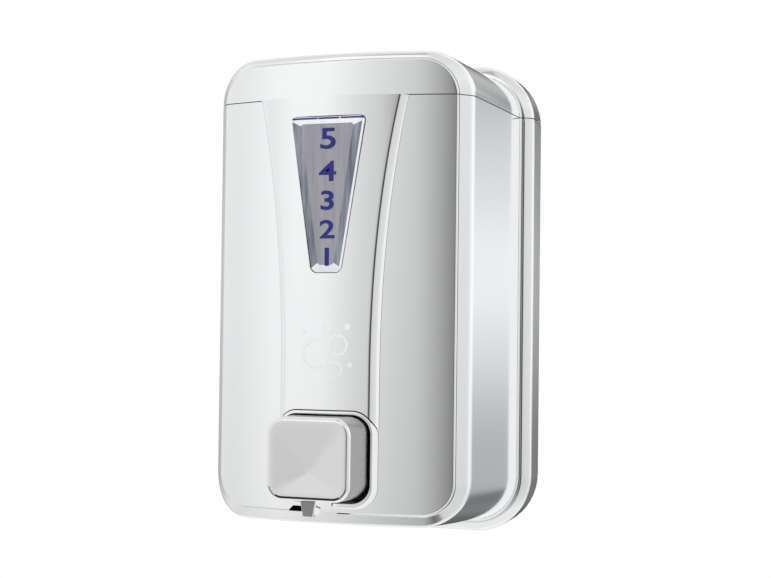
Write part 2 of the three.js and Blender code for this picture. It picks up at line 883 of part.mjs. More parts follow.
// The lid's part of the strap goes over the lid's edge and back along its top.
function lidStrap() {
  const half = strapHalf(seam_height);
  const edge_depth = strap_depth - (half * half) / (2 * strap_bow_radius);
  const top_half = half + (strap_edge_depth - edge_depth) * strap_side_slope;
  const base_depth = face_depth - (top_half * top_half) / (2 * face_bow_radius);
  const base_half = half + (strap_edge_depth - base_depth) * strap_side_slope;
  const planRow = (z, inset, side_inset) => {
    const width = top_half - side_inset;
    const base = base_half - side_inset;
    const xs = Array.from({ length: face_columns + 1 }, (_, i) => -width + (2 * width * i) / face_columns);
    const surface = bowed(strap_depth - inset, strap_bow_radius);
    const front = [[-base, -base_depth, z], ...xs.map((x) => [x, surface(x), z]), [base, -base_depth, z]];
    const back = [-base, ...xs, base].map((x) => [x, -strap_top_back, z]);
    return [...front, ...back.reverse()];
  };
  const rows = [planRow(seam_high, 0, 0), planRow(strap_top - strap_top_radius, 0, 0)];
  for (let i = 1; i <= corner_steps; i++) {
    const angle = (i / corner_steps) * Math.PI / 2;
    const z = strap_top - strap_top_radius * (1 - Math.sin(angle));
    const turn = 1 - Math.cos(angle);
    rows.push(planRow(z, strap_top_radius * turn, strap_top_side_radius * turn));
  }
  return loft(rows)
    .subtract(casingBlock(fit_gap))
    .subtract(panelBlock(fit_gap, fit_gap))
    .subtract(post(barrel_radius + fit_gap, seam_high, strap_top + overrun, 0, lock_depth));
}

function levelWindow() {
  const front = strap_depth + window_proud;
  const back = face_depth - panel_thickness - gasket_thickness - 2 * fit_gap;
  const face = loft([
    ringAt(windowOutline(0), flat(back - window_flange_thickness / 2)),
    ringAt(windowOutline(0), flat(front - window_bevel_depth)),
    ringAt(windowOutline(-window_bevel), flat(front)),
  ]);
  const flange = prism(windowOutline(window_flange), 0, reach_depth).intersect(bowedSlab(
    bowed(back - window_flange_thickness), bowed(back), flange_half, -flange_height, flange_height,
  ));
  return together(face, flange);
}

function windowGasket() {
  const front = face_depth - panel_thickness - fit_gap;
  const slab = bowedSlab(
    bowed(front - gasket_thickness), bowed(front), flange_half, -flange_height, flange_height,
  );
  return prism(windowOutline(window_flange), 0, reach_depth)
    .subtract(prism(windowOutline(fit_gap), 0, reach_depth))
    .intersect(slab);
}

// Button, nozzle and foam path

function buttonOutline(inset, flare = 0) {
  return roundedOutline(
    button_half_width + flare - inset, button_bottom + inset, button_top - inset,
    button_corner_radius - inset, button_corner_radius - inset,
  );
}

// A shallow four-sided dish in the button's face; its lowest point lies under the face's middle.
function buttonDish() {
  const half = button_half_width - dish_margin;
  const low = button_bottom + dish_margin;
  const high = button_top - dish_margin;
  const apex = [0, dish_depth - button_face_depth, THREE.MathUtils.lerp(low, high, dish_low_share)];
  // Each edge runs on past the face by as much as it is long inside.
  const past = ([x, z]) => [2 * x, -button_face_depth - dish_depth, 2 * z - apex[2]];
  const corners = [[-half, low], [half, low], [half, high], [-half, high]].map(past);
  const geometry = new THREE.BufferGeometry();
  geometry.setAttribute('position', new THREE.Float32BufferAttribute([apex, ...corners].flat(), 3));
  geometry.setIndex([0, 1, 2, 0, 2, 3, 0, 3, 4, 0, 4, 1, 1, 4, 3, 1, 3, 2]);
  return asSolid(geometry);
}

function pushButton() {
  const rings = [ringAt(buttonOutline(0, button_draft), flat(button_back_depth))];
  for (let i = 0; i <= edge_steps; i++) {
    const angle = (i / edge_steps) * Math.PI / 2;
    const depth = button_face_depth - button_edge_radius * (1 - Math.sin(angle));
    rings.push(ringAt(buttonOutline(button_edge_radius * (1 - Math.cos(angle))), flat(depth)));
  }
  const inside_depth = button_face_depth - button_face_thickness;
  const hub = rod(hub_radius + hub_wall, cartridge_rear_depth, inside_depth + fit_gap, 0, pump_height);
  const hub_bore = rod(hub_radius, 0, inside_depth, 0, pump_height);
  const duct_slot = box(
    -duct_half_width - fit_gap, duct_half_width + fit_gap,
    duct_centre_depth - nozzle_depth / 2, inside_depth,
    button_bottom + button_wall + fit_gap, pump_height,
  );
  const nozzle_hole = box(
    -nozzle_half_top - fit_gap, nozzle_half_top + fit_gap,
    nozzle_face_depth - nozzle_depth - fit_gap, nozzle_face_depth + fit_gap,
    button_bottom - overrun, nozzle_top + fit_gap,
  );
  const cavity = prism(buttonOutline(button_wall), 0, inside_depth);
  return loft(rings)
    .subtract(cavity)
    .add(hub)
    .subtract(hub_bore)
    .subtract(duct_slot)
    .subtract(nozzle_hole)
    .subtract(buttonDish());
}

function nozzle() {
  const block = (half, taper) => {
    const back = nozzle_face_depth - nozzle_depth + taper;
    return [[-half, -nozzle_face_depth], [half, -nozzle_face_depth], [half, -back], [-half, -back]];
  };
  const ringsOf = [
    [nozzle_top, nozzle_half_top, 0],
    [button_bottom, nozzle_half_top, 0],
    [nozzle_bottom, nozzle_half_bottom, nozzle_taper],
  ].map(([z, half, taper]) => block(half, taper).map(([x, y]) => [x, y, z]));
  return loft(ringsOf).subtract(post(
    nozzle_bore_radius, nozzle_bottom - overrun, nozzle_top + overrun, 0, duct_centre_depth,
    small_round_steps,
  ));
}

function foamDuct() {
  const head = rod(cartridge_radius, duct_rear_depth, duct_front_depth, 0, pump_height);
  const leg = box(
    -duct_half_width, duct_half_width, duct_rear_depth + duct_face, duct_front_depth,
    nozzle_top + fit_gap, pump_height,
  );
  const chamber = rod(
    duct_chamber_radius, duct_rear_depth - overrun, duct_front_depth - duct_face, 0, pump_height,
  );
  const bore = post(
    nozzle_bore_radius, nozzle_top - overrun, pump_height, 0, duct_centre_depth, small_round_steps,
  );
  return together(head, leg).subtract(chamber).subtract(bore);
}

function foamCartridge() {
  const front = duct_rear_depth - fit_gap;
  let body = turnedInDepth(
    ring(cartridge_bore_radius, cartridge_radius, front, cartridge_rear_depth), 0, pump_height,
  );
  const discs = [cartridge_rear_depth, front - cartridge_disc];
  for (const depth of discs) {
    body = body.add(rod(
      cartridge_bore_radius + fit_gap, depth, depth + cartridge_disc, 0, pump_height,
    ));
  }
  const places = Array.from({ length: mesh_holes }, (_, i) => (i / mesh_holes) * 2 * Math.PI);
  const holes = [[0, 0], ...places.map((angle) => [
    mesh_hole_circle * Math.cos(angle), mesh_hole_circle * Math.sin(angle),
  ])];
  for (const [x, z] of holes) {
    body = body.subtract(rod(
      mesh_hole_radius, cartridge_rear_depth - overrun, front + overrun, x, pump_height + z, hole_sides,
    ));
  }
  return body;
}

// Pump

function pumpHousing() {
  const outer = air_bore_radius + air_wall;
  const liquid_outer = liquid_bore_radius + liquid_wall;
  const profile = [
    [air_bore_radius, air_front_depth],
    [housing_flange_radius, air_front_depth],
    [housing_flange_radius, air_front_depth - housing_flange_thickness],
    [outer, air_front_depth - housing_flange_thickness],
    [outer, air_back_depth],
    [liquid_outer, air_back_depth],
    [liquid_outer, liquid_back_depth],
    [0, liquid_back_depth],
    [0, liquid_back_depth + air_wall],
    [liquid_bore_radius, liquid_back_depth + air_wall],
    [liquid_bore_radius, liquid_front_depth],
    [liquid_outer, liquid_front_depth],
    [liquid_outer, air_back_depth + air_wall],
    [air_bore_radius, air_back_depth + air_wall],
    [air_bore_radius, air_front_depth],
  ];
  const shaft = rod(liquid_bore_radius, liquid_back_depth + air_wall, liquid_front_depth, 0, pump_height);
  const nipple = post(nipple_radius, nipple_bottom, pump_height, 0, port_depth).subtract(shaft);
  const bore = post(nipple_bore_radius, nipple_bottom - overrun, nipple_bore_top, 0, port_depth);
  const slots = together(
    box(-port_slot / 2, port_slot / 2, port_depth - ball_radius - port_slot,
      port_depth + ball_radius + port_slot, nipple_bore_top - port_slot, pump_height),
    box(-ball_radius - port_slot, ball_radius + port_slot, port_depth - port_slot / 2,
      port_depth + port_slot / 2, nipple_bore_top - port_slot, pump_height),
  );
  return turnedInDepth(profile, 0, pump_height).add(nipple).subtract(bore).subtract(slots);
}

function housingCap() {
  return turnedInDepth(
    ring(stem_radius + fit_gap, cap_radius, cap_front_depth, cap_front_depth - cap_thickness),
    0, pump_height,
  );
}

function housingNut() {
  const front = bracket_depth - bracket_thickness - fit_gap;
  return turnedInDepth(
    ring(air_bore_radius + air_wall + fit_gap, nut_radius, front, front - nut_length), 0, pump_height,
    small_round_steps,
  );
}

function pumpBracket() {
  const foot_low = inner_bottom + pad_height + fit_gap;
  const back = bracket_depth - bracket_thickness;
  const plate = box(
    -bracket_half_width, bracket_half_width, back, bracket_depth, foot_low, bracket_top,
  );
  const foot = box(
    -bracket_half_width, bracket_half_width, back - foot_length, bracket_depth,
    foot_low, foot_low + foot_thickness,
  );
  let bracket = together(plate, foot).subtract(rod(
    air_bore_radius + air_wall + fit_gap, back - overrun, bracket_depth + overrun, 0, pump_height,
  ));
  for (const x of bracketScrewPlaces()) {
    bracket = bracket.subtract(post(
      bracket_screw_shank + fit_gap, foot_low - overrun, foot_low + foot_thickness + overrun / 2,
      x, back - foot_length / 2, small_round_steps,
    ));
  }
  return bracket;
}

function bracketScrew(x) {
  const seat = inner_bottom + pad_height + foot_thickness + 2 * fit_gap;
  return turnedUpright([
    [0, seat - bracket_screw_grip],
    [bracket_screw_shank, seat - bracket_screw_grip],
    [bracket_screw_shank, seat],
    [bracket_screw_head, seat],
    [bracket_screw_head, seat + bracket_screw_head_height],
    [0, seat + bracket_screw_head_height],
  ], x, bracket_depth - bracket_thickness - foot_length / 2, small_round_steps);
}

function pumpStem() {
  const front = stem_front_depth;
  return turnedInDepth([
    [stem_bore_radius, front],
    [stem_head_radius, front],
    [stem_head_radius, front - stem_head_thickness],
    [stem_radius, front - stem_head_thickness],
    [stem_radius, stem_back_depth],
    [stem_bore_radius, stem_back_depth],
    [stem_bore_radius, front],
  ], 0, pump_height);
}

function airPiston() {
  const inner = stem_radius + fit_gap;
  const hub = inner + piston_hub_wall;
  const outer = air_bore_radius - fit_gap;
  const disc_back = air_piston_depth - air_piston_disc;
  const back = air_piston_depth - air_piston_lip;
  return turnedInDepth([
    [inner, air_piston_depth],
    [outer, air_piston_depth],
    [outer, back],
    [outer - air_piston_lip_wall, back],
    [outer - air_piston_lip_wall, disc_back],
    [hub, disc_back],
    [hub, back],
    [inner, back],
    [inner, air_piston_depth],
  ], 0, pump_height);
}

function liquidPiston() {
  const outer = liquid_bore_radius - fit_gap;
  return turnedInDepth(
    ring(stem_radius + fit_gap, outer, liquid_piston_front_depth, stem_back_depth), 0, pump_height,
    small_round_steps,
  );
}

class SpringPath extends THREE.Curve {
  constructor(radius, back, front) {
    super();
    this.radius = radius;
    this.back = back;
    this.front = front;
  }

  getPoint(t, target = new THREE.Vector3()) {
    const angle = t * spring_turns * 2 * Math.PI;
    const depth = this.back + (this.front - this.back) * t;
    return target.set(
      this.radius * Math.cos(angle), -depth, pump_height + this.radius * Math.sin(angle),
    );
  }
}

function wireSection(radius, sides) {
  const points = Array.from({ length: sides }, (_, i) => {
    const angle = (i / sides) * 2 * Math.PI;
    return new THREE.Vector2(radius * Math.cos(angle), radius * Math.sin(angle));
  });
  return new THREE.Shape(points);
}

function returnSpring() {
  const back = air_back_depth + air_wall + fit_gap + spring_wire_radius;
  const front = air_piston_depth - air_piston_disc - fit_gap - spring_wire_radius;
  return asSolid(new THREE.ExtrudeGeometry(wireSection(spring_wire_radius, spring_sides), {
    extrudePath: new SpringPath(spring_radius, back, front),
    steps: spring_turns * spring_steps_per_turn,
  }));
}

function valveSeat() {
  const low = nipple_bottom + fit_gap;
  const outer = nipple_bore_radius - fit_gap;
  return turnedUpright(
    ring(seat_bore_radius, outer, low, low + seat_height), 0, port_depth, small_round_steps,
  );
}

const ball_rest = nipple_bottom + fit_gap + seat_height
  + Math.sqrt(ball_radius ** 2 - seat_bore_radius ** 2) + fit_gap;

function inletBall() {
  const geometry = new THREE.SphereGeometry(ball_radius, small_round_steps, small_round_steps / 2);
  geometry.rotateX(Math.PI / 2);
  geometry.translate(0, -port_depth, ball_rest);
  return asSolid(geometry);
}

class InletPath extends THREE.Curve {
  getPoint(t, target = new THREE.Vector3()) {
    const start = nipple_bottom - fit_gap;
    const level = start - tube_drop;
    const lengths = [tube_drop, Math.PI * tube_bend, tube_top - level];
    const total = lengths[0] + lengths[1] + lengths[2];
    const along = t * total;
    if (along <= lengths[0]) {
      return target.set(0, -port_depth, start - along);
    }
    if (along <= lengths[0] + lengths[1]) {
      const angle = (along - lengths[0]) / tube_bend;
      const depth = port_depth - tube_bend * (1 - Math.cos(angle));
      return target.set(0, -depth, level - tube_bend * Math.sin(angle));
    }
    return target.set(0, -tube_back_depth, level + along - lengths[0] - lengths[1]);
  }
}

function inletTube() {
  const path = new InletPath();
  const swept = (radius) => asSolid(new THREE.ExtrudeGeometry(wireSection(radius, tube_sides), {
    extrudePath: path, steps: tube_steps,
  }));
  const ends = [
    post(tube_bore_radius, nipple_bottom - fit_gap - tube_drop, nipple_bottom, 0, port_depth, tube_sides),
    post(tube_bore_radius, tube_top - tube_drop, tube_top + tube_drop, 0, tube_back_depth, tube_sides),
  ];
  return swept(tube_radius).subtract(together(swept(tube_bore_radius), ...ends));
}

function couplingSleeve() {
  const low = tube_top - sleeve_length / 2;
  return turnedUpright(
    ring(tube_radius + fit_gap, tube_radius + fit_gap + sleeve_wall, low, tank_bottom - 2 * fit_gap),
    0, tube_back_depth, small_round_steps,
  );
}

// Reservoir

function tankOutline(inset) {
  const corner = tank_corner_radius - inset;
  const half = tank_half_width - inset;
  const middle = (tank_front_depth + tank_back_depth) / 2;
  const reach = (tank_front_depth - tank_back_depth) / 2 - inset;
  return roundedOutline(half, -middle - reach, -middle + reach, corner, corner);
}

function reservoir() {
  const tub = (inset, low, high) => loft([low, high].map(
    (z) => tankOutline(inset).map(([x, y]) => [x, y, z]),
  ));
  const spigot_bottom = tank_bottom - spigot_length;
  return tub(0, tank_bottom, tank_top)
    .add(post(tube_radius, spigot_bottom, tank_bottom + tank_wall, 0, tube_back_depth))
    .subtract(tub(tank_wall, tank_bottom + tank_wall, tank_top + overrun))
    .subtract(post(tube_bore_radius, spigot_bottom - overrun, tank_top, 0, tube_back_depth));
}

// Wall plate

function wallPlate() {
  let plate = prism(plateOutline(0), 0, plate_thickness);
  for (const x of [-plate_hole_x, plate_hole_x]) {
    for (const z of [plate_hole_low, plate_hole_high]) {
      plate = plate.subtract(rod(
        plate_hole_radius, -overrun, plate_thickness + overrun, x, z, small_round_steps,
      ));
    }
  }
  plate = plate.subtract(rod(
    body_screw_shank + fit_gap, -overrun, plate_thickness + overrun, 0, body_screw_height,
    small_round_steps,
  ));
  const lip_back = back_wall_front + fit_gap;
  for (const side of hanger_sides) {
    const left = side * hanger_x - hanger_half_width;
    const right = side * hanger_x + hanger_half_width;
    plate = together(
      plate,
      box(left, right, plate_thickness / 2, lip_back + hanger_lip_thickness,
        hanger_height, hanger_height + hanger_stem),
      box(left, right, lip_back, lip_back + hanger_lip_thickness,
        hanger_height, hanger_height + hanger_stem + hanger_lip),
    );
  }
  return plate;
}

function bodyScrew() {
  const seat = back_wall_front + fit_gap;
  return turnedInDepth([
    [0, seat + body_screw_head_height],
    [body_screw_head, seat + body_screw_head_height],
    [body_screw_head, seat],
    [body_screw_shank, seat],
    [body_screw_shank, fit_gap],
    [0, fit_gap],
  ], 0, body_screw_height, small_round_steps);
}

// Lid lock

function lockBarrel() {
  const seat = strap_top + fit_gap;
  return turnedUpright([
    [barrel_bore_radius, barrel_bottom],
    [barrel_radius, barrel_bottom],
    [barrel_radius, seat],
    [barrel_flange_radius, seat],
    [barrel_flange_radius, seat + barrel_flange_thickness],
    [barrel_bore_radius, seat + barrel_flange_thickness],
    [barrel_bore_radius, barrel_bottom],
  ], 0, lock_depth);
}

function lockNut() {
  const high = inner_top - fit_gap;
  const across_flats = Math.cos(Math.PI / nut_sides);
  return turnedUpright(
    ring((barrel_radius + fit_gap) / across_flats, lock_nut_radius, high - lock_nut_height, high),
    0, lock_depth, nut_sides,
  );
}

function lockPlug() {
  const face = strap_top + fit_gap + barrel_flange_thickness - fit_gap;
  const plug = post(barrel_bore_radius - fit_gap, cam_top + fit_gap, face, 0, lock_depth);
  const slot = box(
    -key_slot_width / 2, key_slot_width / 2,
    lock_depth - key_slot_length / 2, lock_depth + key_slot_length / 2,
    face - key_slot_depth, face + overrun,
  );
  const thread = post(
    cam_screw_shank + fit_gap, cam_top - overrun, cam_top + cam_screw_length, 0, lock_depth,
    small_round_steps,
  );
  return plug.subtract(slot).subtract(thread);
}

function lockCam() {
  const low = cam_top - cam_thickness;
  const arm = box(
    0, cam_length, lock_depth - cam_half_width, lock_depth + cam_half_width, low, cam_top,
  );
  return together(arm, post(lock_nut_radius - cam_half_width / 2, low, cam_top, 0, lock_depth))
    .subtract(post(
      cam_screw_shank + fit_gap, low - overrun, cam_top + overrun, 0, lock_depth, small_round_steps,
    ));
}

function camScrew() {
  const seat = cam_top - cam_thickness - fit_gap;
  return turnedUpright([
    [0, seat - cam_screw_head_height],
    [cam_screw_radius, seat - cam_screw_head_height],
    [cam_screw_radius, seat],
    [cam_screw_shank, seat],
    [cam_screw_shank, seat + cam_screw_length],
    [0, seat + cam_screw_length],
  ], 0, lock_depth, small_round_steps);
}

// Materials

const chrome = { color: 0xd4d7d9, roughness: 0.16, metalness: 0.9 };
const satin = { color: 0xc4c4c4, roughness: 0.38, metalness: 0.6 };
const clear = { color: 0xa4a8b0, roughness: 0.08, metalness: 0, transparent: true, opacity: 0.6 };
const grey_plastic = { color: 0x737373, roughness: 0.45, metalness: 0 };
const white_plastic = { color: 0xe8e8e4, roughness: 0.5, metalness: 0 };
const milky_plastic = { color: 0xdfe6ea, roughness: 0.35, metalness: 0 };
const rubber = { color: 0x2b2b2c, roughness: 0.8, metalness: 0 };
const steel = { color: 0xb9bcc0, roughness: 0.3, metalness: 1 };
const brass = { color: 0xb8985a, roughness: 0.35, metalness: 1 };

const dispenser = new THREE.Group();

function place(name, shape, finish) {
  const mesh = new THREE.Mesh(asGeometry(shape), new THREE.MeshStandardMaterial(finish));
  mesh.name = name;
  dispenser.add(mesh);
}

place('wall_plate', wallPlate(), white_plastic);
place('body_shell', bodyShell(), chrome);
place('body_screw', bodyScrew(), steel);
place('front_panel', frontPanel(), chrome);
place('front_strap', frontStrap(), chrome);
place('button_bezel', buttonBezel(), chrome);
place('level_window', levelWindow(), clear);
place('window_gasket', windowGasket(), rubber);
place('lid_shell', lidShell(), chrome);
place('lid_panel', lidPanel(), chrome);
place('lid_strap', lidStrap(), chrome);
place('lock_barrel', lockBarrel(), steel);
place('lock_nut', lockNut(), brass);
place('lock_plug', lockPlug(), steel);
place('lock_cam', lockCam(), steel);
place('cam_screw', camScrew(), steel);
place('reservoir', reservoir(), milky_plastic);
place('inlet_tube', inletTube(), milky_plastic);
place('coupling_sleeve', couplingSleeve(), rubber);
place('pump_housing', pumpHousing(), white_plastic);
place('housing_cap', housingCap(), white_plastic);
place('housing_nut', housingNut(), grey_plastic);
place('pump_bracket', pumpBracket(), grey_plastic);
bracketScrewPlaces().forEach((x, i) => {
  place(['bracket_screw_left', 'bracket_screw_right'][i], bracketScrew(x), steel);
});
place('valve_seat', valveSeat(), rubber);
place('inlet_ball', inletBall(), steel);
place('pump_stem', pumpStem(), white_plastic);
place('air_piston', airPiston(), milky_plastic);
place('liquid_piston', liquidPiston(), milky_plastic);
place('return_spring', returnSpring(), steel);
place('foam_cartridge', foamCartridge(), white_plastic);
place('foam_duct', foamDuct(), grey_plastic);
place('push_button', pushButton(), satin);
place('nozzle', nozzle(), grey_plastic);

export default dispenser;
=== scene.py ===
# Looks of a wall-mounted foam soap dispenser: chromed casing, bowed front panel, vase-shaped strap
# with a clear level window, and a deep thumb button in a moulded bezel.
#
# Shapes are written in millimetres as (x, depth, z): x to the right, depth from the wall towards
# the viewer and z up. They become metres, with -Y as the front, when a piece is made.

from math import cos, dist, pi, radians, sin, tan

import bmesh
import bpy
from mathutils import Matrix, Vector


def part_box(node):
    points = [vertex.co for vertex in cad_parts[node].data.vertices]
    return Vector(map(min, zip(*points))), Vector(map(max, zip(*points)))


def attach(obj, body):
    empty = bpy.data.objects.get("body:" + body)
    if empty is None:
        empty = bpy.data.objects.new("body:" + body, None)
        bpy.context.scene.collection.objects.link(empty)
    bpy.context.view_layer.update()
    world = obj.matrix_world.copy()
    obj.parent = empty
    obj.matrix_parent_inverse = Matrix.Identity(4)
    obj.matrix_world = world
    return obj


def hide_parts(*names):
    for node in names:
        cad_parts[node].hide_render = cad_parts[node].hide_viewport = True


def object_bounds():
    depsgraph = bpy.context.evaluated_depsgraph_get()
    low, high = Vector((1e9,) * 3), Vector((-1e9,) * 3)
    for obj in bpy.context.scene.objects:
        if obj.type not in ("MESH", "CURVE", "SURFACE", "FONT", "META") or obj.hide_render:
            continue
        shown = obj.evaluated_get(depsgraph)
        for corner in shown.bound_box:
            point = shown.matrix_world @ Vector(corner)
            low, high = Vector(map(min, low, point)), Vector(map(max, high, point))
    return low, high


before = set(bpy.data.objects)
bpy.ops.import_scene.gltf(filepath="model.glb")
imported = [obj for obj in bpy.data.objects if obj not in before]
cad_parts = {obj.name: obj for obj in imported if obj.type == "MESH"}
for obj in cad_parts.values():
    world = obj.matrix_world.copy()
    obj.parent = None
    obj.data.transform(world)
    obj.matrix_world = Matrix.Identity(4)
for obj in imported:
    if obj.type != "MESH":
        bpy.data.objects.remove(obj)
cad_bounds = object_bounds()

MM = 0.001
WELD = 2e-6
OVERRUN = 4
FIT_GAP = 0.3
PLATE_THICKNESS = 3.2

# Fineness
CORNER_STEPS = 12
FACE_COLUMNS = 36
EDGE_STEPS = 6
SMALL_STEPS = 3
RIM_STEPS = 12
ROUND_STEPS = 64
STRAP_ROWS = 30
DISH_RINGS = 12
SHARP_ANGLE = 28
NORMAL_WEIGHT = 80


class Box:
    """A node's box in millimetres, with depths counted from the wall."""

    def __init__(self, node):
        low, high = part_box(node)
        self.left, self.right = low.x / MM, high.x / MM
        self.back, self.front = -high.y / MM, -low.y / MM
        self.low, self.high = low.z / MM, high.z / MM


BODY = Box("body_shell")
LID = Box("lid_shell")
PANEL = Box("front_panel")
LID_PANEL = Box("lid_panel")
STRAP = Box("front_strap")
LID_STRAP = Box("lid_strap")
BEZEL = Box("button_bezel")
WINDOW = Box("level_window")
BUTTON = Box("push_button")
NOZZLE = Box("nozzle")
PLATE = Box("wall_plate")
BARREL = Box("lock_barrel")
PLUG = Box("lock_plug")
TANK = Box("reservoir")

# Casing
FLANGE_HALF = BODY.right
FLANGE_LOW = BODY.low
FLANGE_HIGH = LID.high
FLANGE_LIP = 5.5
BEAD_WIDTH = 3.6
BEAD_DEPTH = 4.4
BEAD_START = 29
FLANGE_DRAFT = 0.4
FLANGE_DEPTH = 17.8
FLANGE_TOP_RADIUS = 27
FLANGE_BOTTOM_RADIUS = 25.5
FLANGE_BACK_ROUND = 0.4
COVE_ANGLE = 22
COVE_SHARE = 0.3
COVE_RISE = 0.1
COVE_ROOT = 1.1
BODY_HALF = FLANGE_HALF - FLANGE_LIP
BODY_TOP = FLANGE_HIGH - 6.3
BODY_BOTTOM = FLANGE_LOW + 10.2
BODY_RADIUS = 18.6
UNDERSIDE_SLOPE = 4.7
SIDE_DRAFT = 0.9
WALL = 2.4
BACK_WALL_BACK = PLATE_THICKNESS + FIT_GAP
BACK_WALL_FRONT = BACK_WALL_BACK + WALL
RIM_DEPTH = BODY.front
RIM_SIDE_START = 42
RIM_END_START = 4
RIM_SIDE_LAND = 0.58
RIM_BOTTOM_LAND = 0.72
RIM_TOP_LAND = 0.04
BED_LIP_ROUND = 0.1
BED_SIDE_GAP = 0.06
BED_BOTTOM_GAP = 0.45
FACE_BOW = 180.6
SEAM_LOW = PANEL.high
SEAM_HIGH = LID_PANEL.low

# Panel
FACE_DEPTH = PANEL.front
PANEL_HALF = PANEL.right
PANEL_TOP = LID_PANEL.high
PANEL_BOTTOM = PANEL.low
PANEL_TOP_RADIUS = 15.6
PANEL_BOTTOM_RADIUS = 13.2
PANEL_THICKNESS = 2.5
PANEL_EDGE_ROUND = 0.8
BED_DEPTH = FACE_DEPTH - PANEL_THICKNESS - FIT_GAP
LEDGE_WIDTH = 6
LEDGE_BACK = BED_DEPTH - 2.4
NOTCH_LEFT = -17.7
NOTCH_RIGHT = -4.2
NOTCH_HEIGHT = 2.1
NOTCH_SLANT = 2.4

# Strap
STRAP_DEPTH = STRAP.front
STRAP_BOW = 108
STRAP_EDGE_DEPTH = STRAP_DEPTH - 2.1
STRAP_HALF = 20.3
STRAP_FLARE = 9.9
STRAP_FLARE_POWER = 2.2
STRAP_FLARE_LENGTH = 117.1
STRAP_SLOPE = 0.5
STRAP_LEFT_SLOPE = 0.68
STRAP_EDGE_REACH = 2.1
STRAP_SEAT_GAP = 0.3
STRAP_TURN_STEP = 0.005
MEET_ROUNDS = 20
STRAP_TOP = LID_STRAP.high
STRAP_TOP_BACK = LID_STRAP.back
STRAP_TOP_ROUND = 6.8
STRAP_TOP_SIDE_ROUND = 4
LID_STRAP_EDGE_REACH = 3.6

# Bezel, button and nozzle
BEZEL_HALF = 20.9
BEZEL_TOP = -48.4
BEZEL_BOTTOM = -87.3
BEZEL_RADIUS = 8.7
BEZEL_RISE = 0.9
BEZEL_SLOPE = 0.16
BEZEL_EDGE_ROUND = 0.55
BEZEL_LIP_ROUND = 0.3
OPENING_HALF = BEZEL_HALF - 1
OPENING_TOP = BEZEL_TOP - 1.4
OPENING_BOTTOM = BEZEL_BOTTOM + 1.9
OPENING_RADIUS = 7.7
SKIRT_WALL = 1.5
SKIRT_END = BEZEL.back
STRAP_FOOT = BEZEL_TOP - 9.9
BUTTON_DRAFT = 1.4
BUTTON_HALF = BUTTON.right - BUTTON_DRAFT
BUTTON_RADIUS = 6.9
BUTTON_WALL = 1.8
BUTTON_EDGE_ROUND = 1.8
BUTTON_BACK_ROUND = 0.4
BUTTON_FACE_TURN = 0.975
# The next two place the painted shade line along the lower edge of the button's face
BUTTON_SHADE_LINE_TURN = 0.11
BUTTON_SHADE_LINE_END = 0.85
FACE_THICKNESS = 2.4
DISH_MARGIN = 2.5
DISH_DEPTH = 1.4
DISH_LOW_SHARE = 0.32
DISH_SHARPNESS = 7
NOZZLE_SLOT_HALF = 4.2

# Level window
WINDOW_TOP = 71.7
WINDOW_BOTTOM = 7.9
WINDOW_HALF_TOP = 16.4
WINDOW_HALF_BOTTOM = 6.4
WINDOW_RADIUS = 2.4
WINDOW_END_BEVEL = 3
WINDOW_TOP_BEVEL = 4.8
WINDOW_FOOT_BEVEL = 3
WINDOW_BEVEL_DEPTH = 1
WINDOW_FLANGE = 3
WINDOW_FLANGE_THICKNESS = 1.6
WINDOW_SHARP = 8
WINDOW_FACE_TURN = 0.995
FACE_TOLERANCE = 0.01

# Wall plate
PLATE_RADIUS = 8
PLATE_ROOM = 2
PLATE_BEVEL = 0.5
PLATE_HOLE_RADIUS = 2.3
PLATE_HOLES = ((-34, -64), (34, -64), (-34, 60), (34, 60))
HANGER_STEM = (30, 33)
HANGER_HOOK = (30, 39)
HANGER_LIP = 2.5
HANGER_LAP = 1


# Outlines are lists of (x, z): the lower side from left to right, then the upper side back.

def rounded(half, low, high, bottom_radius, top_radius):
    def side(edge, radius, turn):
        corner = []
        for i in range(CORNER_STEPS + 1):
            angle = i / CORNER_STEPS * pi / 2
            across, over = radius * cos(angle), radius * (1 - sin(angle))
            corner.append((half - radius + across, edge + turn * over))
        left = [(-x, z) for x, z in corner]
        reach = half - radius
        middle = [(-reach + 2 * reach * i / FACE_COLUMNS, edge) for i in range(1, FACE_COLUMNS)]
        return left + middle + corner[::-1]

    return side(low, bottom_radius, 1) + side(high, top_radius, -1)[::-1]


def inset_outline(half, low, high, bottom_radius, top_radius=None):
    """A function that gives the outline drawn in by the value that it is called with."""
    top_radius = bottom_radius if top_radius is None else top_radius

    def outline(inset=0):
        return rounded(half - inset, low + inset, high - inset, bottom_radius - inset, top_radius - inset)

    return outline


body_outline = inset_outline(BODY_HALF, BODY_BOTTOM, BODY_TOP, BODY_RADIUS)
# The body's outlines at its front rim, and at the flange, where its underside lies lower
front_outline = inset_outline(BODY_HALF - SIDE_DRAFT, BODY_BOTTOM, BODY_TOP, BODY_RADIUS)
body_root_outline = inset_outline(BODY_HALF, BODY_BOTTOM - UNDERSIDE_SLOPE, BODY_TOP,
                                  FLANGE_BOTTOM_RADIUS - FLANGE_LIP, BODY_RADIUS)
flange_outline = inset_outline(FLANGE_HALF, FLANGE_LOW, FLANGE_HIGH, FLANGE_BOTTOM_RADIUS, FLANGE_TOP_RADIUS)
panel_outline = inset_outline(PANEL_HALF, PANEL_BOTTOM, PANEL_TOP, PANEL_BOTTOM_RADIUS, PANEL_TOP_RADIUS)
plate_outline = inset_outline(PLATE.right, PLATE.low, PLATE.high, PLATE_RADIUS)
bezel_outline = inset_outline(BEZEL_HALF, BEZEL_BOTTOM, BEZEL_TOP, BEZEL_RADIUS)
opening_outline = inset_outline(OPENING_HALF, OPENING_BOTTOM, OPENING_TOP, OPENING_RADIUS)
button_outline = inset_outline(BUTTON_HALF, BUTTON.low, BUTTON.high, BUTTON_RADIUS)
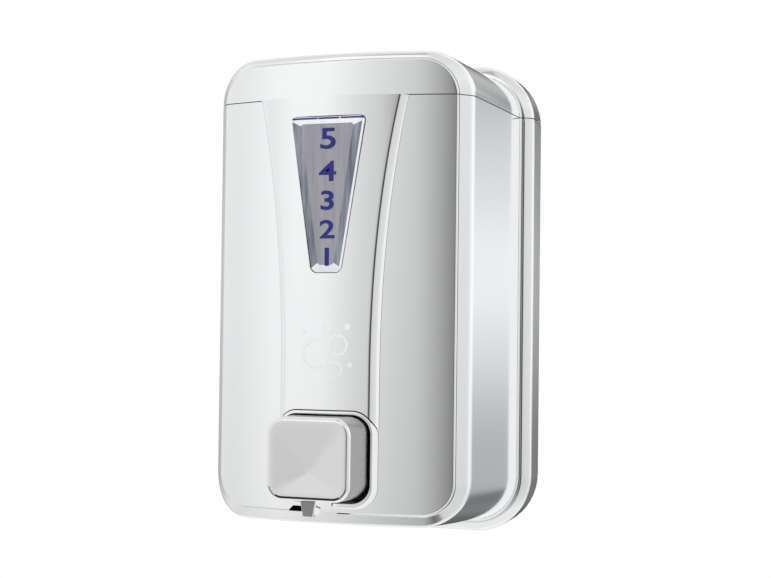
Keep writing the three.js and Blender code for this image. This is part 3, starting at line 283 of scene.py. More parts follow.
button_back_outline = inset_outline(BUTTON_HALF + BUTTON_DRAFT, BUTTON.low, BUTTON.high, BUTTON_RADIUS)


def inner_outline(inset=0):
    return body_outline(WALL + inset)


def bed_outline(grow):
    """The edge of the panel's bed: close at the sides and wider below the panel, right of the notch."""
    outline = rounded(PANEL_HALF + BED_SIDE_GAP + grow, PANEL_BOTTOM - BED_BOTTOM_GAP - grow,
                      PANEL_TOP + BED_SIDE_GAP + grow, PANEL_BOTTOM_RADIUS + grow, PANEL_TOP_RADIUS + grow)
    raised = []
    for x, z in outline[:len(outline) // 2]:
        share = min(max((NOTCH_RIGHT - x) / (NOTCH_RIGHT - NOTCH_LEFT), 0), 1)
        raised.append((x, z + (BED_BOTTOM_GAP - BED_SIDE_GAP) * share))
    return raised + outline[len(outline) // 2:]


def window_outline(grow):
    return tapered(WINDOW_HALF_BOTTOM + grow, WINDOW_HALF_TOP + grow, WINDOW_BOTTOM - grow,
                   WINDOW_TOP + grow, WINDOW_RADIUS + grow)


def window_face_outline():
    return tapered(WINDOW_HALF_BOTTOM - WINDOW_FOOT_BEVEL, WINDOW_HALF_TOP - WINDOW_TOP_BEVEL,
                   WINDOW_BOTTOM + WINDOW_END_BEVEL, WINDOW_TOP - WINDOW_END_BEVEL, WINDOW_RADIUS / 2)


def tapered(half_low, half_high, low, high, radius):
    """A tapered outline, wide at the top, with round corners."""
    lower, upper = [], []
    for i in range(EDGE_STEPS + 1):
        angle = i / EDGE_STEPS * pi / 2
        across, down = radius * (1 - cos(angle)), radius * (1 - sin(angle))
        lean = (half_high - half_low) * down / (high - low)
        lower.append((-half_low + across - lean, low + down))
        upper.append((-half_high + across + lean, high - down))

    def mirrored(row):
        return row + [(-x, z) for x, z in reversed(row)]

    return mirrored(lower) + mirrored(upper)[::-1]


# Surfaces give the depth at x.

def flat(depth):
    return lambda x: depth


def bowed(depth, radius=FACE_BOW):
    return lambda x: depth - x * x / (2 * radius)


def strap_bowed(depth):
    return bowed(depth, STRAP_BOW)


def at(outline, surface):
    return [(x, surface(x), z) for x, z in outline]


def quarter(steps=EDGE_STEPS):
    """Pairs (how far along, how far round) of a quarter circle of radius 1."""
    for i in range(steps + 1):
        angle = i / steps * pi / 2
        yield 1 - cos(angle), sin(angle)


def rolled(outline, surface, depth, radius, grow=0):
    """Rings of an edge that is rolled over to a face at the depth."""
    return [at(outline(radius * along - grow), surface(depth + grow - radius * (1 - around)))
            for along, around in quarter()]


def arc_corner(before, corner, after, reach, steps=EDGE_STEPS):
    """Points of a round corner between two straight stretches, exact as a circle."""
    before, corner, after = Vector(before), Vector(corner), Vector(after)
    first = (before - corner).normalized()
    second = (after - corner).normalized()
    weight = sin(first.angle(second) / 2)
    start, end = corner + first * reach, corner + second * reach
    points = []
    for i in range(steps + 1):
        t = i / steps
        a, b, c = (1 - t) ** 2, 2 * weight * t * (1 - t), t * t
        points.append(tuple((start * a + corner * b + end * c) / (a + b + c)))
    return points


# Solids

def placed(name, data):
    """A new object in the scene."""
    piece = bpy.data.objects.new(name, data)
    bpy.context.scene.collection.objects.link(piece)
    return piece


def as_object(name, points, faces):
    mesh = bpy.data.meshes.new(name)
    mesh.from_pydata([(x * MM, -depth * MM, z * MM) for x, depth, z in points], [], faces)
    work = bmesh.new()
    work.from_mesh(mesh)
    bmesh.ops.remove_doubles(work, verts=work.verts, dist=WELD)
    bmesh.ops.dissolve_degenerate(work, dist=WELD, edges=work.edges)
    bmesh.ops.recalc_face_normals(work, faces=work.faces)
    work.to_mesh(mesh)
    work.free()
    return placed(name, mesh)


def loft(name, rings, ends="ruled"):
    """Rings joined one to the next. The ends are ruled, each one face, or joined last to first."""
    count, last = len(rings[0]), (len(rings) - 1) * len(rings[0])
    faces = []
    for r in range(len(rings) if ends == "joined" else len(rings) - 1):
        here, there = r * count, ((r + 1) % len(rings)) * count
        for i in range(count):
            j = (i + 1) % count
            faces.append((here + i, here + j, there + j, there + i))
    if ends == "faces":
        faces += [tuple(range(count)), tuple(range(last, last + count))]
    elif ends == "ruled":
        for i in range(count // 2 - 1):
            faces.append((i, count - 1 - i, count - 2 - i, i + 1))
            faces.append((last + i, last + i + 1, last + count - 2 - i, last + count - 1 - i))
    return as_object(name, [point for ring in rings for point in ring], faces)


def prism(name, outline, back, front):
    return loft(name, [at(outline, flat(back)), at(outline, flat(front))])


def block(name, left, right, back, front, low, high):
    return loft(name, [
        [(left, back, z), (right, back, z), (right, front, z), (left, front, z)] for z in (low, high)
    ])


def turned(name, profile, x, depth, z=None):
    """A turned piece from (radius, place) pairs: upright, or along the depth where z is given."""
    rings = []
    for radius, place in profile:
        ring = []
        for i in range(ROUND_STEPS):
            angle = i / ROUND_STEPS * 2 * pi
            across, over = radius * cos(angle), radius * sin(angle)
            ring.append((x + across, depth + over, place) if z is None else (x + across, place, z + over))
        rings.append(ring)
    return loft(name, rings, "joined")


def rod(name, radius, back, front, x, z):
    ends = [(0, back), (radius, back), (radius, front), (0, front)]
    return turned(name, ends, x, 0, z)


def post(name, radius, low, high, x, depth):
    return turned(name, [(0, low), (radius, low), (radius, high), (0, high)], x, depth)


def shape_of(piece):
    return bpy.data.meshes.new_from_object(piece.evaluated_get(bpy.context.evaluated_depsgraph_get()))


def settle(piece):
    shape = shape_of(piece)
    piece.modifiers.clear()
    piece.data = shape


def combine(piece, how, *tools):
    for tool in tools:
        modifier = piece.modifiers.new(how, "BOOLEAN")
        modifier.operation = how
        modifier.solver = "EXACT"
        modifier.object = tool
        settle(piece)
        bpy.data.objects.remove(tool)


def cut(piece, *tools):
    combine(piece, "DIFFERENCE", *tools)


def add(piece, *tools):
    combine(piece, "UNION", *tools)


def copy_of(piece, name):
    return placed(name, piece.data.copy())


def keep_side(piece, height, above):
    """Cuts the piece at a height, closes the cut and keeps what lies above or below it."""
    work = bmesh.new()
    work.from_mesh(piece.data)
    made = bmesh.ops.bisect_plane(
        work, geom=[*work.verts, *work.edges, *work.faces], dist=WELD,
        plane_co=(0, 0, height * MM), plane_no=(0, 0, 1), clear_inner=above, clear_outer=not above,
    )
    edges = [part for part in made["geom_cut"] if isinstance(part, bmesh.types.BMEdge)]
    bmesh.ops.triangle_fill(work, use_beauty=True, use_dissolve=False, edges=edges)
    bmesh.ops.recalc_face_normals(work, faces=work.faces)
    work.to_mesh(piece.data)
    work.free()
    return piece


def dress(piece, body, slot, finish, *nodes, sharp=SHARP_ANGLE):
    """Smooths the piece and gives it its finish, its body and the nodes that it stands for."""
    finishes = finish if isinstance(finish, list) else [finish]
    piece.data.materials.clear()
    for each in finishes:
        piece.data.materials.append(each)
    piece.data.shade_smooth()
    piece.data.set_sharp_from_angle(angle=radians(sharp))
    weighted = piece.modifiers.new("weighted", "WEIGHTED_NORMAL")
    weighted.mode = "FACE_AREA"
    weighted.weight = NORMAL_WEIGHT
    weighted.keep_sharp = True
    settle(piece)
    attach(piece, body)
    if nodes:
        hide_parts(*nodes)


def plate(piece, body, node):
    dress(piece, body, "plated_shell", CHROME, node)


# Finishes
WIPE_STRETCH = 0.12
WIPE_DETAIL = 5
WIPE_ROUGHNESS = 0.6
WIPE_SHARE = 0.4
POLISH_MIDDLE = 0.6
PATCH_SCALE = 30
SPECK_SCALE = 420
DUST_COLOUR = 0xcfcdc8
DUST_POWER = 3
METAL_DUST = 0.1
PLASTIC_DUST = 0.25
POLISH_BUMP = (0.02, 0.001)
GRAIN_DEPTH = 0.0001
SOFT_DEPTH = 0.002
CLEAR_ROUGHNESS = 0.06
CLEAR_IOR = 1.49
CLEAR_COAT = 0.5
CLEAR_COAT_ROUGHNESS = 0.03
STREAK_STRETCH = 0.09
STREAK_SCALE = 420
STREAK_BUMP = (0.08, 0.0004)


def new_group(name, inputs, outputs):
    """A shader group. The inputs are values by name, and the outputs are names."""
    group = bpy.data.node_groups.new(name, "ShaderNodeTree")

    def new_socket(label, way):
        kind = "NodeSocketColor" if label == "Color" else "NodeSocketFloat"
        return group.interface.new_socket(name=label, in_out=way, socket_type=kind)

    for label, value in inputs.items():
        new_socket(label, "INPUT").default_value = value
    for label in outputs:
        new_socket(label, "OUTPUT")
    return group, group.nodes.new("NodeGroupInput").outputs, group.nodes.new("NodeGroupOutput")


def feed(socket, value):
    """Links the value to the socket, or sets it as the socket's own."""
    if isinstance(value, bpy.types.NodeSocket):
        socket.id_data.links.new(value, socket)
    else:
        socket.default_value = value


def feed_all(node, **values):
    """Feeds inputs by name, where an underscore stands for a space."""
    for label, value in values.items():
        feed(node.inputs[label.replace("_", " ")], value)
    return node


def new_node(tree, kind, **values):
    return feed_all(tree.nodes.new(kind), **values)


def math_node(tree, operation, *values, clamp=False):
    node = new_node(tree, "ShaderNodeMath")
    node.operation = operation
    node.use_clamp = clamp
    for socket, value in zip(node.inputs, values):
        feed(socket, value)
    return node.outputs[0]


def blend_tones(tree, how, fac, first, second):
    node = new_node(tree, "ShaderNodeMix")
    node.data_type = "RGBA"
    node.blend_type = how
    return feed_all(node, Factor=fac, A=first, B=second).outputs["Result"]


def object_place(tree, upright=1):
    """The object's own coordinates, drawn out along z where upright is below 1."""
    place = new_node(tree, "ShaderNodeTexCoord").outputs["Object"]
    if upright == 1:
        return place
    return new_node(tree, "ShaderNodeMapping", Scale=(1, 1, upright), Vector=place).outputs["Vector"]


def noise(tree, vector, scale, detail=3, roughness=0.55):
    return new_node(tree, "ShaderNodeTexNoise", Vector=vector, Scale=scale, Detail=detail,
                    Roughness=roughness).outputs["Fac"]


def colour_ramp(tree, fac, stops, blend="LINEAR"):
    """A colour ramp; stops are (position, colour)."""
    ramp = new_node(tree, "ShaderNodeValToRGB", Fac=fac)
    ramp.color_ramp.interpolation = blend
    elements = ramp.color_ramp.elements
    elements.remove(elements[1])
    for i, (position, colour) in enumerate(stops):
        element = elements[0] if i == 0 else elements.new(position)
        element.position, element.color = position, colour
    return ramp.outputs["Color"]


def make_polish():
    """Wiped metal: cloudy smears in the gloss, fine wipe marks and a faint unevenness."""
    group, given, out = new_group("wiped_polish", {
        "Roughness": 0.1, "Smear": 0.05, "Smear Scale": 18, "Wipe Scale": 160,
    }, ("Roughness", "Height"))
    clouds = noise(group, object_place(group), given["Smear Scale"])
    wipes = noise(group, object_place(group, WIPE_STRETCH), given["Wipe Scale"], WIPE_DETAIL,
                  WIPE_ROUGHNESS)
    mixed = math_node(group, "MULTIPLY_ADD", wipes, WIPE_SHARE, clouds)
    centred = math_node(group, "SUBTRACT", mixed, POLISH_MIDDLE)
    shift = math_node(group, "MULTIPLY", centred, given["Smear"])
    feed_all(out, Roughness=math_node(group, "ADD", given["Roughness"], shift, clamp=True),
             Height=clouds)
    return group


def make_grain():
    """Moulded plastic: a slight change of tone over the surface and a fine grain."""
    group, given, out = new_group("moulded_grain", {
        "Color": (0.5, 0.5, 0.5, 1), "Variation": 0.06, "Grain Scale": 900,
    }, ("Color", "Height"))
    place = object_place(group)
    level = math_node(group, "SUBTRACT", noise(group, place, PATCH_SCALE), 0.5)
    level = math_node(group, "MULTIPLY", level, given["Variation"])
    shade = new_node(group, "ShaderNodeVectorMath")
    shade.operation = "SCALE"
    feed(shade.inputs[0], given["Color"])
    feed(shade.inputs["Scale"], math_node(group, "ADD", level, 1))
    feed_all(out, Color=shade.outputs["Vector"], Height=noise(group, place, given["Grain Scale"], 2))
    return group


def make_dust():
    """A mask of fine dust that settles on faces that look up."""
    group, given, out = new_group("settled_dust", {"Amount": 0.3}, ("Mask",))
    facing = new_node(group, "ShaderNodeNewGeometry").outputs["Normal"]
    split = new_node(group, "ShaderNodeSeparateXYZ", Vector=facing)
    upward = math_node(group, "POWER", math_node(group, "MAXIMUM", split.outputs["Z"], 0), DUST_POWER)
    mask = math_node(group, "MULTIPLY", upward, noise(group, object_place(group), SPECK_SCALE, 4))
    feed_all(out, Mask=math_node(group, "MULTIPLY", mask, given["Amount"], clamp=True))
    return group


POLISH = make_polish()
GRAIN = make_grain()
DUST = make_dust()


def srgb(code):
    """A linear colour from a six-figure screen colour."""
    parts = [(code >> shift & 255) / 255 for shift in (16, 8, 0)]
    return tuple(p / 12.92 if p <= 0.04045 else ((p + 0.055) / 1.055) ** 2.4 for p in parts) + (1,)


def new_finish(name):
    finish = bpy.data.materials.new(name)
    finish.use_nodes = True
    return finish, finish.node_tree, finish.node_tree.nodes["Principled BSDF"]


def place_group(tree, group, **values):
    node = new_node(tree, "ShaderNodeGroup")
    node.node_tree = group
    return feed_all(node, **values)


def bump(tree, shader, height, strength, distance):
    node = new_node(tree, "ShaderNodeBump", Strength=strength, Distance=distance, Height=height)
    feed(shader.inputs["Normal"], node.outputs["Normal"])


def dusty(tree, shader, colour, amount):
    """Mixes settled dust over the colour."""
    mask = place_group(tree, DUST, Amount=amount).outputs["Mask"]
    feed(shader.inputs["Base Color"], blend_tones(tree, "MIX", mask, colour, srgb(DUST_COLOUR)))


def metal(name, colour, roughness, smear, smear_scale=18, wipe_scale=160, metallic=1.0):
    finish, tree, shader = new_finish(name)
    polish = place_group(tree, POLISH, Roughness=roughness, Smear=smear, Smear_Scale=smear_scale,
                         Wipe_Scale=wipe_scale)
    feed_all(shader, Metallic=metallic, Roughness=polish.outputs["Roughness"])
    bump(tree, shader, polish.outputs["Height"], *POLISH_BUMP)
    dusty(tree, shader, srgb(colour), METAL_DUST)
    return finish


def plastic(name, colour, roughness, variation=0.08, grain_scale=900, grain=0.12, coat=0.0, soft=0.0):
    finish, tree, shader = new_finish(name)
    moulded = place_group(tree, GRAIN, Color=srgb(colour), Variation=variation, Grain_Scale=grain_scale)
    feed_all(shader, Roughness=roughness, Coat_Weight=coat, Subsurface_Weight=soft,
             Subsurface_Scale=SOFT_DEPTH)
    bump(tree, shader, moulded.outputs["Height"], grain, GRAIN_DEPTH)
    dusty(tree, shader, moulded.outputs["Color"], PLASTIC_DUST)
    return finish


def clear_plastic(name, colour, reflection_streak_colour, reflection_streaks, clearness):
    """A clear moulded insert: tinted, with long upright streaks of painted reflection in its colour, which
    also give a slight bump.
    """
    finish, tree, shader = new_finish(name)
    lines = noise(tree, object_place(tree, STREAK_STRETCH), STREAK_SCALE)
    # The streaks are painted reflection
    tones = colour_ramp(tree, lines, ((0.5 - reflection_streaks, srgb(colour)), (0.5 + reflection_streaks, srgb(reflection_streak_colour))))
    feed_all(shader, Base_Color=tones, Roughness=CLEAR_ROUGHNESS, IOR=CLEAR_IOR,
             Transmission_Weight=clearness, Coat_Weight=CLEAR_COAT, Coat_Roughness=CLEAR_COAT_ROUGHNESS)
    bump(tree, shader, lines, *STREAK_BUMP)
    return finish


CHROME = metal("chrome_plating", 0xf3f4f5, 0.10, 0.05)
SATIN = metal("satin_plating", 0xe2e2e2, 0.30, 0.10, 26, 300, 0.92)
# Brushed finish for the button's sides, with its colour darkened as painted shade
BRUSHED_PAINTED_SHADE = metal("brushed_side_painted_shade", 0xa6a6a6, 0.26, 0.16, 40, 500)
# Painted shade: a dark metal for the line along the lower edge of the button's face
PAINTED_SHADE_LINE = metal("painted_shade_line", 0x3a3a3a, 0.22, 0.1, 40, 500)
STEEL = metal("machined_steel", 0xc2c4c6, 0.24, 0.15, 60, 700)
BRASS = metal("turned_brass", 0xc9a45c, 0.30, 0.15, 60, 700)
GREY_PLASTIC = plastic("grey_plastic", 0x7c7c7c, 0.38, coat=0.3)
WHITE_PLASTIC = plastic("white_plastic", 0xe6e6e2, 0.45)
MILKY_PLASTIC = plastic("milky_plastic", 0xdfe5e8, 0.32, 0.04, 500, 0.08, 0.1, 0.35)
RUBBER = plastic("black_rubber", 0x2b2b2c, 0.75, 0.2, 700, 0.3)
WINDOW_FACE = clear_plastic("window_face", 0xa3a1a8, 0xb4b3ba, 0.18, 0.25)
# The window's side bevels carry a painted dark reflection in slate, and its top and bottom bevels a painted
# white highlight
WINDOW_SIDE_DARK_REFLECTION = clear_plastic("window_side_painted_reflection", 0x666b78, 0xa9b1c0, 0.16, 0.2)
WINDOW_END_HIGHLIGHT = clear_plastic("window_end_painted_highlight", 0xf4f5f7, 0xffffff, 0.3, 0.05)
BLUE_PRINT = plastic("blue_print", 0x0f1a7a, 0.5, 0.05, 1500, 0.05, 0.05)
# White for print, and for the painted highlight down the window's right edge
WHITE_PRINT_AND_HIGHLIGHT = plastic("white_print_and_highlight", 0xf6f6f6, 0.4, 0.03, 1500, 0.05)


# Casing

def between(first, second, share):
    """The outline that lies a share of the way from the first to the second."""
    return [(x0 + (x1 - x0) * share, z0 + (z1 - z0) * share)
            for (x0, z0), (x1, z1) in zip(first, second)]


def rim_rings(outer, inner, grow=0):
    """The rim: a roll from the casing's side to a land at the panel's bed.

    The land slopes like a chamfer on the sides, and faces the front along the bottom and the top.
    """
    shapes = []
    for first, second in zip(outer, inner):
        width = dist(first, second)
        upright = ((second[1] - first[1]) / width) ** 2
        start = radians(RIM_SIDE_START + (RIM_END_START - RIM_SIDE_START) * upright)
        end_land = RIM_BOTTOM_LAND if second[1] > first[1] else RIM_TOP_LAND
        land = RIM_SIDE_LAND + (end_land - RIM_SIDE_LAND) * upright
        shapes.append((width, start, land, (1 - land) / (1 - sin(start))))
    rings = []
    for i in range(RIM_STEPS + 1):
        ring = []
        for (x0, z0), (x1, z1), (width, start, land, roll) in zip(outer, inner, shapes):
            angle = pi / 2 + (start - pi / 2) * i / RIM_STEPS
            inward = roll * (1 - sin(angle))
            fall = roll * (cos(start) - cos(angle)) + land * tan(start)
            x = x0 + (x1 - x0) * inward
            ring.append((x, bowed(RIM_DEPTH + grow - width * fall)(x), z0 + (z1 - z0) * inward))
        rings.append(ring)
    rings.append(at(inner, bowed(RIM_DEPTH + grow)))
    return rings


def flange_rings():
    """The flange: drafted side, rolled over to a rounded bead, and a tight cove up to the body."""
    rings = [at(flange_outline(FLANGE_DRAFT + FLANGE_BACK_ROUND), flat(BODY.back)),
             at(flange_outline(FLANGE_DRAFT), flat(BODY.back + FLANGE_BACK_ROUND))]
    lean = BEAD_WIDTH * tan(radians(BEAD_START))
    for i in range(RIM_STEPS + 1):
        t = i / RIM_STEPS
        fall = BEAD_DEPTH * (1 - t) ** 2 + 2 * lean * t * (1 - t)
        rings.append(at(flange_outline(BEAD_WIDTH * t * t), flat(FLANGE_DEPTH - fall)))
    land, root = flange_outline(BEAD_WIDTH), body_root_outline()
    turned_up = radians(COVE_ANGLE)
    rings.append(at(between(land, root, COVE_SHARE), flat(FLANGE_DEPTH + COVE_RISE)))
    for i in range(1, EDGE_STEPS + 1):
        angle = turned_up + (pi / 2 - turned_up) * i / EDGE_STEPS
        share = (sin(angle) - sin(turned_up)) / (1 - sin(turned_up))
        rise = COVE_RISE + COVE_ROOT * (1 - cos(angle) / cos(turned_up))
        outline = between(land, root, COVE_SHARE + (1 - COVE_SHARE) * share)
        rings.append(at(outline, flat(FLANGE_DEPTH + rise)))
    return rings


def whole_casing():
    """The casing with its flange, rim, panel bed, ledge and hollow, before it is cut at the seam."""
    recess = plate_outline(-PLATE_ROOM)
    rings = [at(recess, flat(BACK_WALL_BACK)), at(recess, flat(BODY.back))]
    rings += flange_rings()
    rings += rim_rings(front_outline(), bed_outline(BED_LIP_ROUND))
    lip, ledge, inside = bed_outline(0), panel_outline(LEDGE_WIDTH), inner_outline()
    inner = ((lip, RIM_DEPTH - BED_LIP_ROUND), (lip, BED_DEPTH), (ledge, BED_DEPTH), (ledge, LEDGE_BACK),
             (inside, LEDGE_BACK))
    rings += [at(outline, bowed(depth)) for outline, depth in inner]
    return loft("whole_casing", rings + [at(inside, flat(BACK_WALL_FRONT))])


def casing_envelope(name, grow):
    """The casing's outer shape in front of the flange, filled, a little larger all round."""
    return loft(name, [at(front_outline(-grow), flat(0)),
                       *rim_rings(front_outline(-grow), panel_outline(-grow), grow)])


def notch_tool(back):
    corners = [
        (NOTCH_LEFT, PANEL_BOTTOM - FIT_GAP), (NOTCH_RIGHT, PANEL_BOTTOM - FIT_GAP),
        (NOTCH_RIGHT, PANEL_BOTTOM + NOTCH_HEIGHT), (NOTCH_LEFT + NOTCH_SLANT, PANEL_BOTTOM + NOTCH_HEIGHT),
    ]
    return prism("notch_tool", corners, back, STRAP_DEPTH)


def skirt_tool():
    return prism("skirt_tool", opening_outline(-SKIRT_WALL - FIT_GAP), 0, STRAP_DEPTH + OVERRUN)


def make_casing():
    casing = whole_casing()
    lid = keep_side(copy_of(casing, "lid_casing"), SEAM_HIGH, True)
    body = keep_side(casing, SEAM_LOW, False)
    body.name = "body_casing"
    cut(body, notch_tool(LEDGE_BACK - OVERRUN), skirt_tool())
    add_inner_forms(body)
    add_lid_lip(lid)
    cut(lid, post("lock_hole", BARREL_RADIUS + FIT_GAP, CATCH_HIGH, STRAP_TOP + OVERRUN, 0, LOCK_DEPTH))
    plate(body, "casing", "body_shell")
    plate(lid, "lid", "lid_shell")


# Inner forms of the casing: hanger slots, tank shelves, screw pads and the lid's catch
HANGER_X = 30
HANGER_HALF = 4
HANGER_LOW = 20
HANGER_HIGH = 33
SCREW_HOLE = 2.1
SCREW_HEIGHT = -50
SHELF_WIDTH = 8
SHELF_THICKNESS = 3.2
SHELF_SHORT = 4
PAD_RADIUS = 4
PAD_HEIGHT = 1.5
PAD_X = 17
PAD_DEPTH = 69.5
CATCH_HALF = 8
CATCH_POST = 2.7
CATCH_LOW = 62
CATCH_HIGH = 85
CATCH_HOOK = 2.4
CATCH_REACH = 16
CATCH_LAP = 1
TANK_FOOT = 5.5
LIP_WALL = 1.6
LIP_HEIGHT = 5
LIP_OVERRUN = 2
BARREL_RADIUS = 6.2
BARREL_ROUND = 0.5
LOCK_DEPTH = 52


def add_inner_forms(body):
    for side in (-1, 1):
        left, right = side * HANGER_X - HANGER_HALF - FIT_GAP, side * HANGER_X + HANGER_HALF + FIT_GAP
        cut(body, block("slot", left, right, 0, BACK_WALL_FRONT + OVERRUN, HANGER_LOW, HANGER_HIGH + FIT_GAP))
    cut(body, rod("screw_hole", SCREW_HOLE, 0, BACK_WALL_FRONT + OVERRUN, 0, SCREW_HEIGHT))
    edge = BODY_HALF - WALL / 2
    for side in (-1, 1):
        sides = sorted((side * edge, side * (edge - SHELF_WIDTH)))
        shelf_top = TANK.low + TANK_FOOT - FIT_GAP
        add(body, block("shelf", *sides, TANK.back + SHELF_SHORT, TANK.front - SHELF_SHORT,
                        shelf_top - SHELF_THICKNESS, shelf_top))
        floor = BODY_BOTTOM + WALL
        add(body, post("pad", PAD_RADIUS, floor - WALL / 2, floor + PAD_HEIGHT, side * PAD_X, PAD_DEPTH))
    back = BACK_WALL_FRONT + FIT_GAP
    front, top, hook = back + CATCH_POST, SEAM_LOW - LIP_HEIGHT, CATCH_HIGH + CATCH_HOOK
    for name, *span in (("catch_root", BACK_WALL_FRONT - WALL / 2, front, CATCH_LOW, top),
                        ("catch_riser", back, front, top - CATCH_LAP, hook),
                        ("catch_hook", front - CATCH_LAP, CATCH_REACH, CATCH_HIGH, hook)):
        add(body, block(name, -CATCH_HALF, CATCH_HALF, *span))


def add_lid_lip(lid):
    """A thin lip inside the lid that reaches down into the lower casing."""
    def ring_block(name, inset, low, high):
        outline = inner_outline(inset)
        back, front = flat(BACK_WALL_FRONT + inset), bowed(LEDGE_BACK - inset)
        whole = loft(name, [at(outline, back), at(outline, front)])
        return keep_side(keep_side(whole, high, False), low, True)

    through = SEAM_LOW - LIP_HEIGHT - LIP_OVERRUN, SEAM_HIGH + LIP_HEIGHT + LIP_OVERRUN
    lip = ring_block("lip", FIT_GAP, SEAM_LOW - LIP_HEIGHT, SEAM_HIGH + FIT_GAP)
    add(lip, ring_block("lip_root", -FIT_GAP, SEAM_HIGH + FIT_GAP / 2, SEAM_HIGH + LIP_HEIGHT))
    cut(lip, ring_block("lip_hole", FIT_GAP + LIP_WALL, *through))
    room = CATCH_HALF + 2 * FIT_GAP
    cut(lip, block("catch_room", -room, room, 0, CATCH_REACH + OVERRUN, *through))
    add(lid, lip)


# Front panel and strap

def whole_panel(name, grow=0):
    back = at(panel_outline(-grow), bowed(FACE_DEPTH - PANEL_THICKNESS - grow))
    return loft(name, [back] + rolled(panel_outline, bowed, FACE_DEPTH, PANEL_EDGE_ROUND, grow))


def window_tool():
    return prism("window_tool", window_outline(FIT_GAP), 0, STRAP_DEPTH + OVERRUN)


def make_panels():
    panel = whole_panel("panel_skin")
    lid_panel = keep_side(copy_of(panel, "lid_panel_skin"), SEAM_HIGH, True)
    keep_side(panel, SEAM_LOW, False)
    cut(panel, skirt_tool(), window_tool(), notch_tool(0))
    plate(panel, "casing", "front_panel")
    plate(lid_panel, "lid", "lid_panel")


def strap_half(z):
    rise = (z - (SEAM_LOW + FIT_GAP / 2 - STRAP_FLARE_LENGTH)) / STRAP_FLARE_LENGTH
    return STRAP_HALF + STRAP_FLARE * min(max(rise, 0), 1) ** STRAP_FLARE_POWER


def meet(half, surface, slope):
    """Where the strap's leaning side reaches a surface."""
    x = half
    for _ in range(MEET_ROUNDS):
        x = half + (STRAP_EDGE_DEPTH - surface(x)) * slope
    return x, surface(x)


def strap_section(half, z, front, seat, reach=STRAP_EDGE_REACH, inset=0, side_inset=0):
    """One row of the strap seen from above: seat, leaning side, round edge and bowed front."""
    def side(slope):
        base, corner = meet(half, seat, slope), meet(half, front, slope)
        step = corner[0] * STRAP_TURN_STEP
        inward = (corner[0] - step, front(corner[0] - step))
        return [base] + arc_corner(base, corner, inward, reach)

    right, left = side(STRAP_SLOPE), [(-x, depth) for x, depth in reversed(side(STRAP_LEFT_SLOPE))]
    start, end = right[-1][0], left[0][0]
    middle = [start + (end - start) * i / FACE_COLUMNS for i in range(1, FACE_COLUMNS)]
    row = right + [(x, front(x)) for x in middle] + left
    return [(x * (1 - side_inset / half), depth - inset, z) for x, depth in row]


def make_strap():
    front, seat = strap_bowed(STRAP_DEPTH), bowed(FACE_DEPTH + STRAP_SEAT_GAP)
    rings = []
    for i in range(STRAP_ROWS + 1):
        z = STRAP_FOOT + (SEAM_LOW - STRAP_FOOT) * i / STRAP_ROWS
        row = strap_section(strap_half(z), z, front, seat)
        back = [(x, seat(x), z) for x, _, z in reversed(row)][1:-1]
        rings.append(row + back)
    strap = loft("strap_skin", rings, "faces")
    cut(strap, window_tool(), bezel_block("bezel_tool", FIT_GAP))
    plate(strap, "casing", "front_strap")


def make_lid_strap():
    """The lid's part of the strap: it goes over the lid's edge and back along its top."""
    half = strap_half(SEAM_LOW + FIT_GAP)
    front, seat = strap_bowed(STRAP_DEPTH), bowed(FACE_DEPTH)
    rows = [(SEAM_HIGH, 0), ((SEAM_HIGH + STRAP_TOP - STRAP_TOP_ROUND) / 2, 0)]
    rows += [(STRAP_TOP - STRAP_TOP_ROUND * (1 - around), along) for along, around in quarter(2 * EDGE_STEPS)]
    rings = []
    for z, turn in rows:
        row = strap_section(half, z, front, seat, LID_STRAP_EDGE_REACH, STRAP_TOP_ROUND * turn,
                            STRAP_TOP_SIDE_ROUND * turn)
        back = [(x, STRAP_TOP_BACK, z) for x, _, z in reversed(row)]
        rings.append(row + back)
    strap = loft("lid_strap_skin", rings, "faces")
    cut(strap, casing_envelope("casing_tool", STRAP_SEAT_GAP), whole_panel("panel_tool", STRAP_SEAT_GAP),
        post("lock_hole", BARREL_RADIUS + FIT_GAP, SEAM_HIGH, STRAP_TOP + OVERRUN, 0, LOCK_DEPTH))
    plate(strap, "lid", "lid_strap")


# Bezel

def bezel_outer_rings(base, grow):
    top = STRAP_DEPTH + BEZEL_RISE
    lean = (top - base) * BEZEL_SLOPE
    return [at(bezel_outline(-lean - grow), bowed(base)),
            *rolled(bezel_outline, strap_bowed, top, BEZEL_EDGE_ROUND, grow)]


def bezel_block(name, grow):
    return loft(name, bezel_outer_rings(FACE_DEPTH - OVERRUN, grow))


def make_bezel():
    seat = FACE_DEPTH + STRAP_SEAT_GAP
    top = STRAP_DEPTH + BEZEL_RISE
    rings = bezel_outer_rings(seat, 0)
    rings += [at(opening_outline(BEZEL_LIP_ROUND * (around - 1)), strap_bowed(top - BEZEL_LIP_ROUND * along))
              for along, around in quarter()]
    rings += [at(opening_outline(), flat(SKIRT_END)), at(opening_outline(-SKIRT_WALL), flat(SKIRT_END)),
              at(opening_outline(-SKIRT_WALL), bowed(seat))]
    bezel = loft("bezel_ring", rings, "joined")
    cut(bezel, block("nozzle_slot", -NOZZLE_SLOT_HALF, NOZZLE_SLOT_HALF, seat, STRAP_DEPTH + OVERRUN,
                     BEZEL_BOTTOM - OVERRUN, OPENING_BOTTOM + OVERRUN))
    plate(bezel, "casing", "button_bezel")


# Level window with its numbers

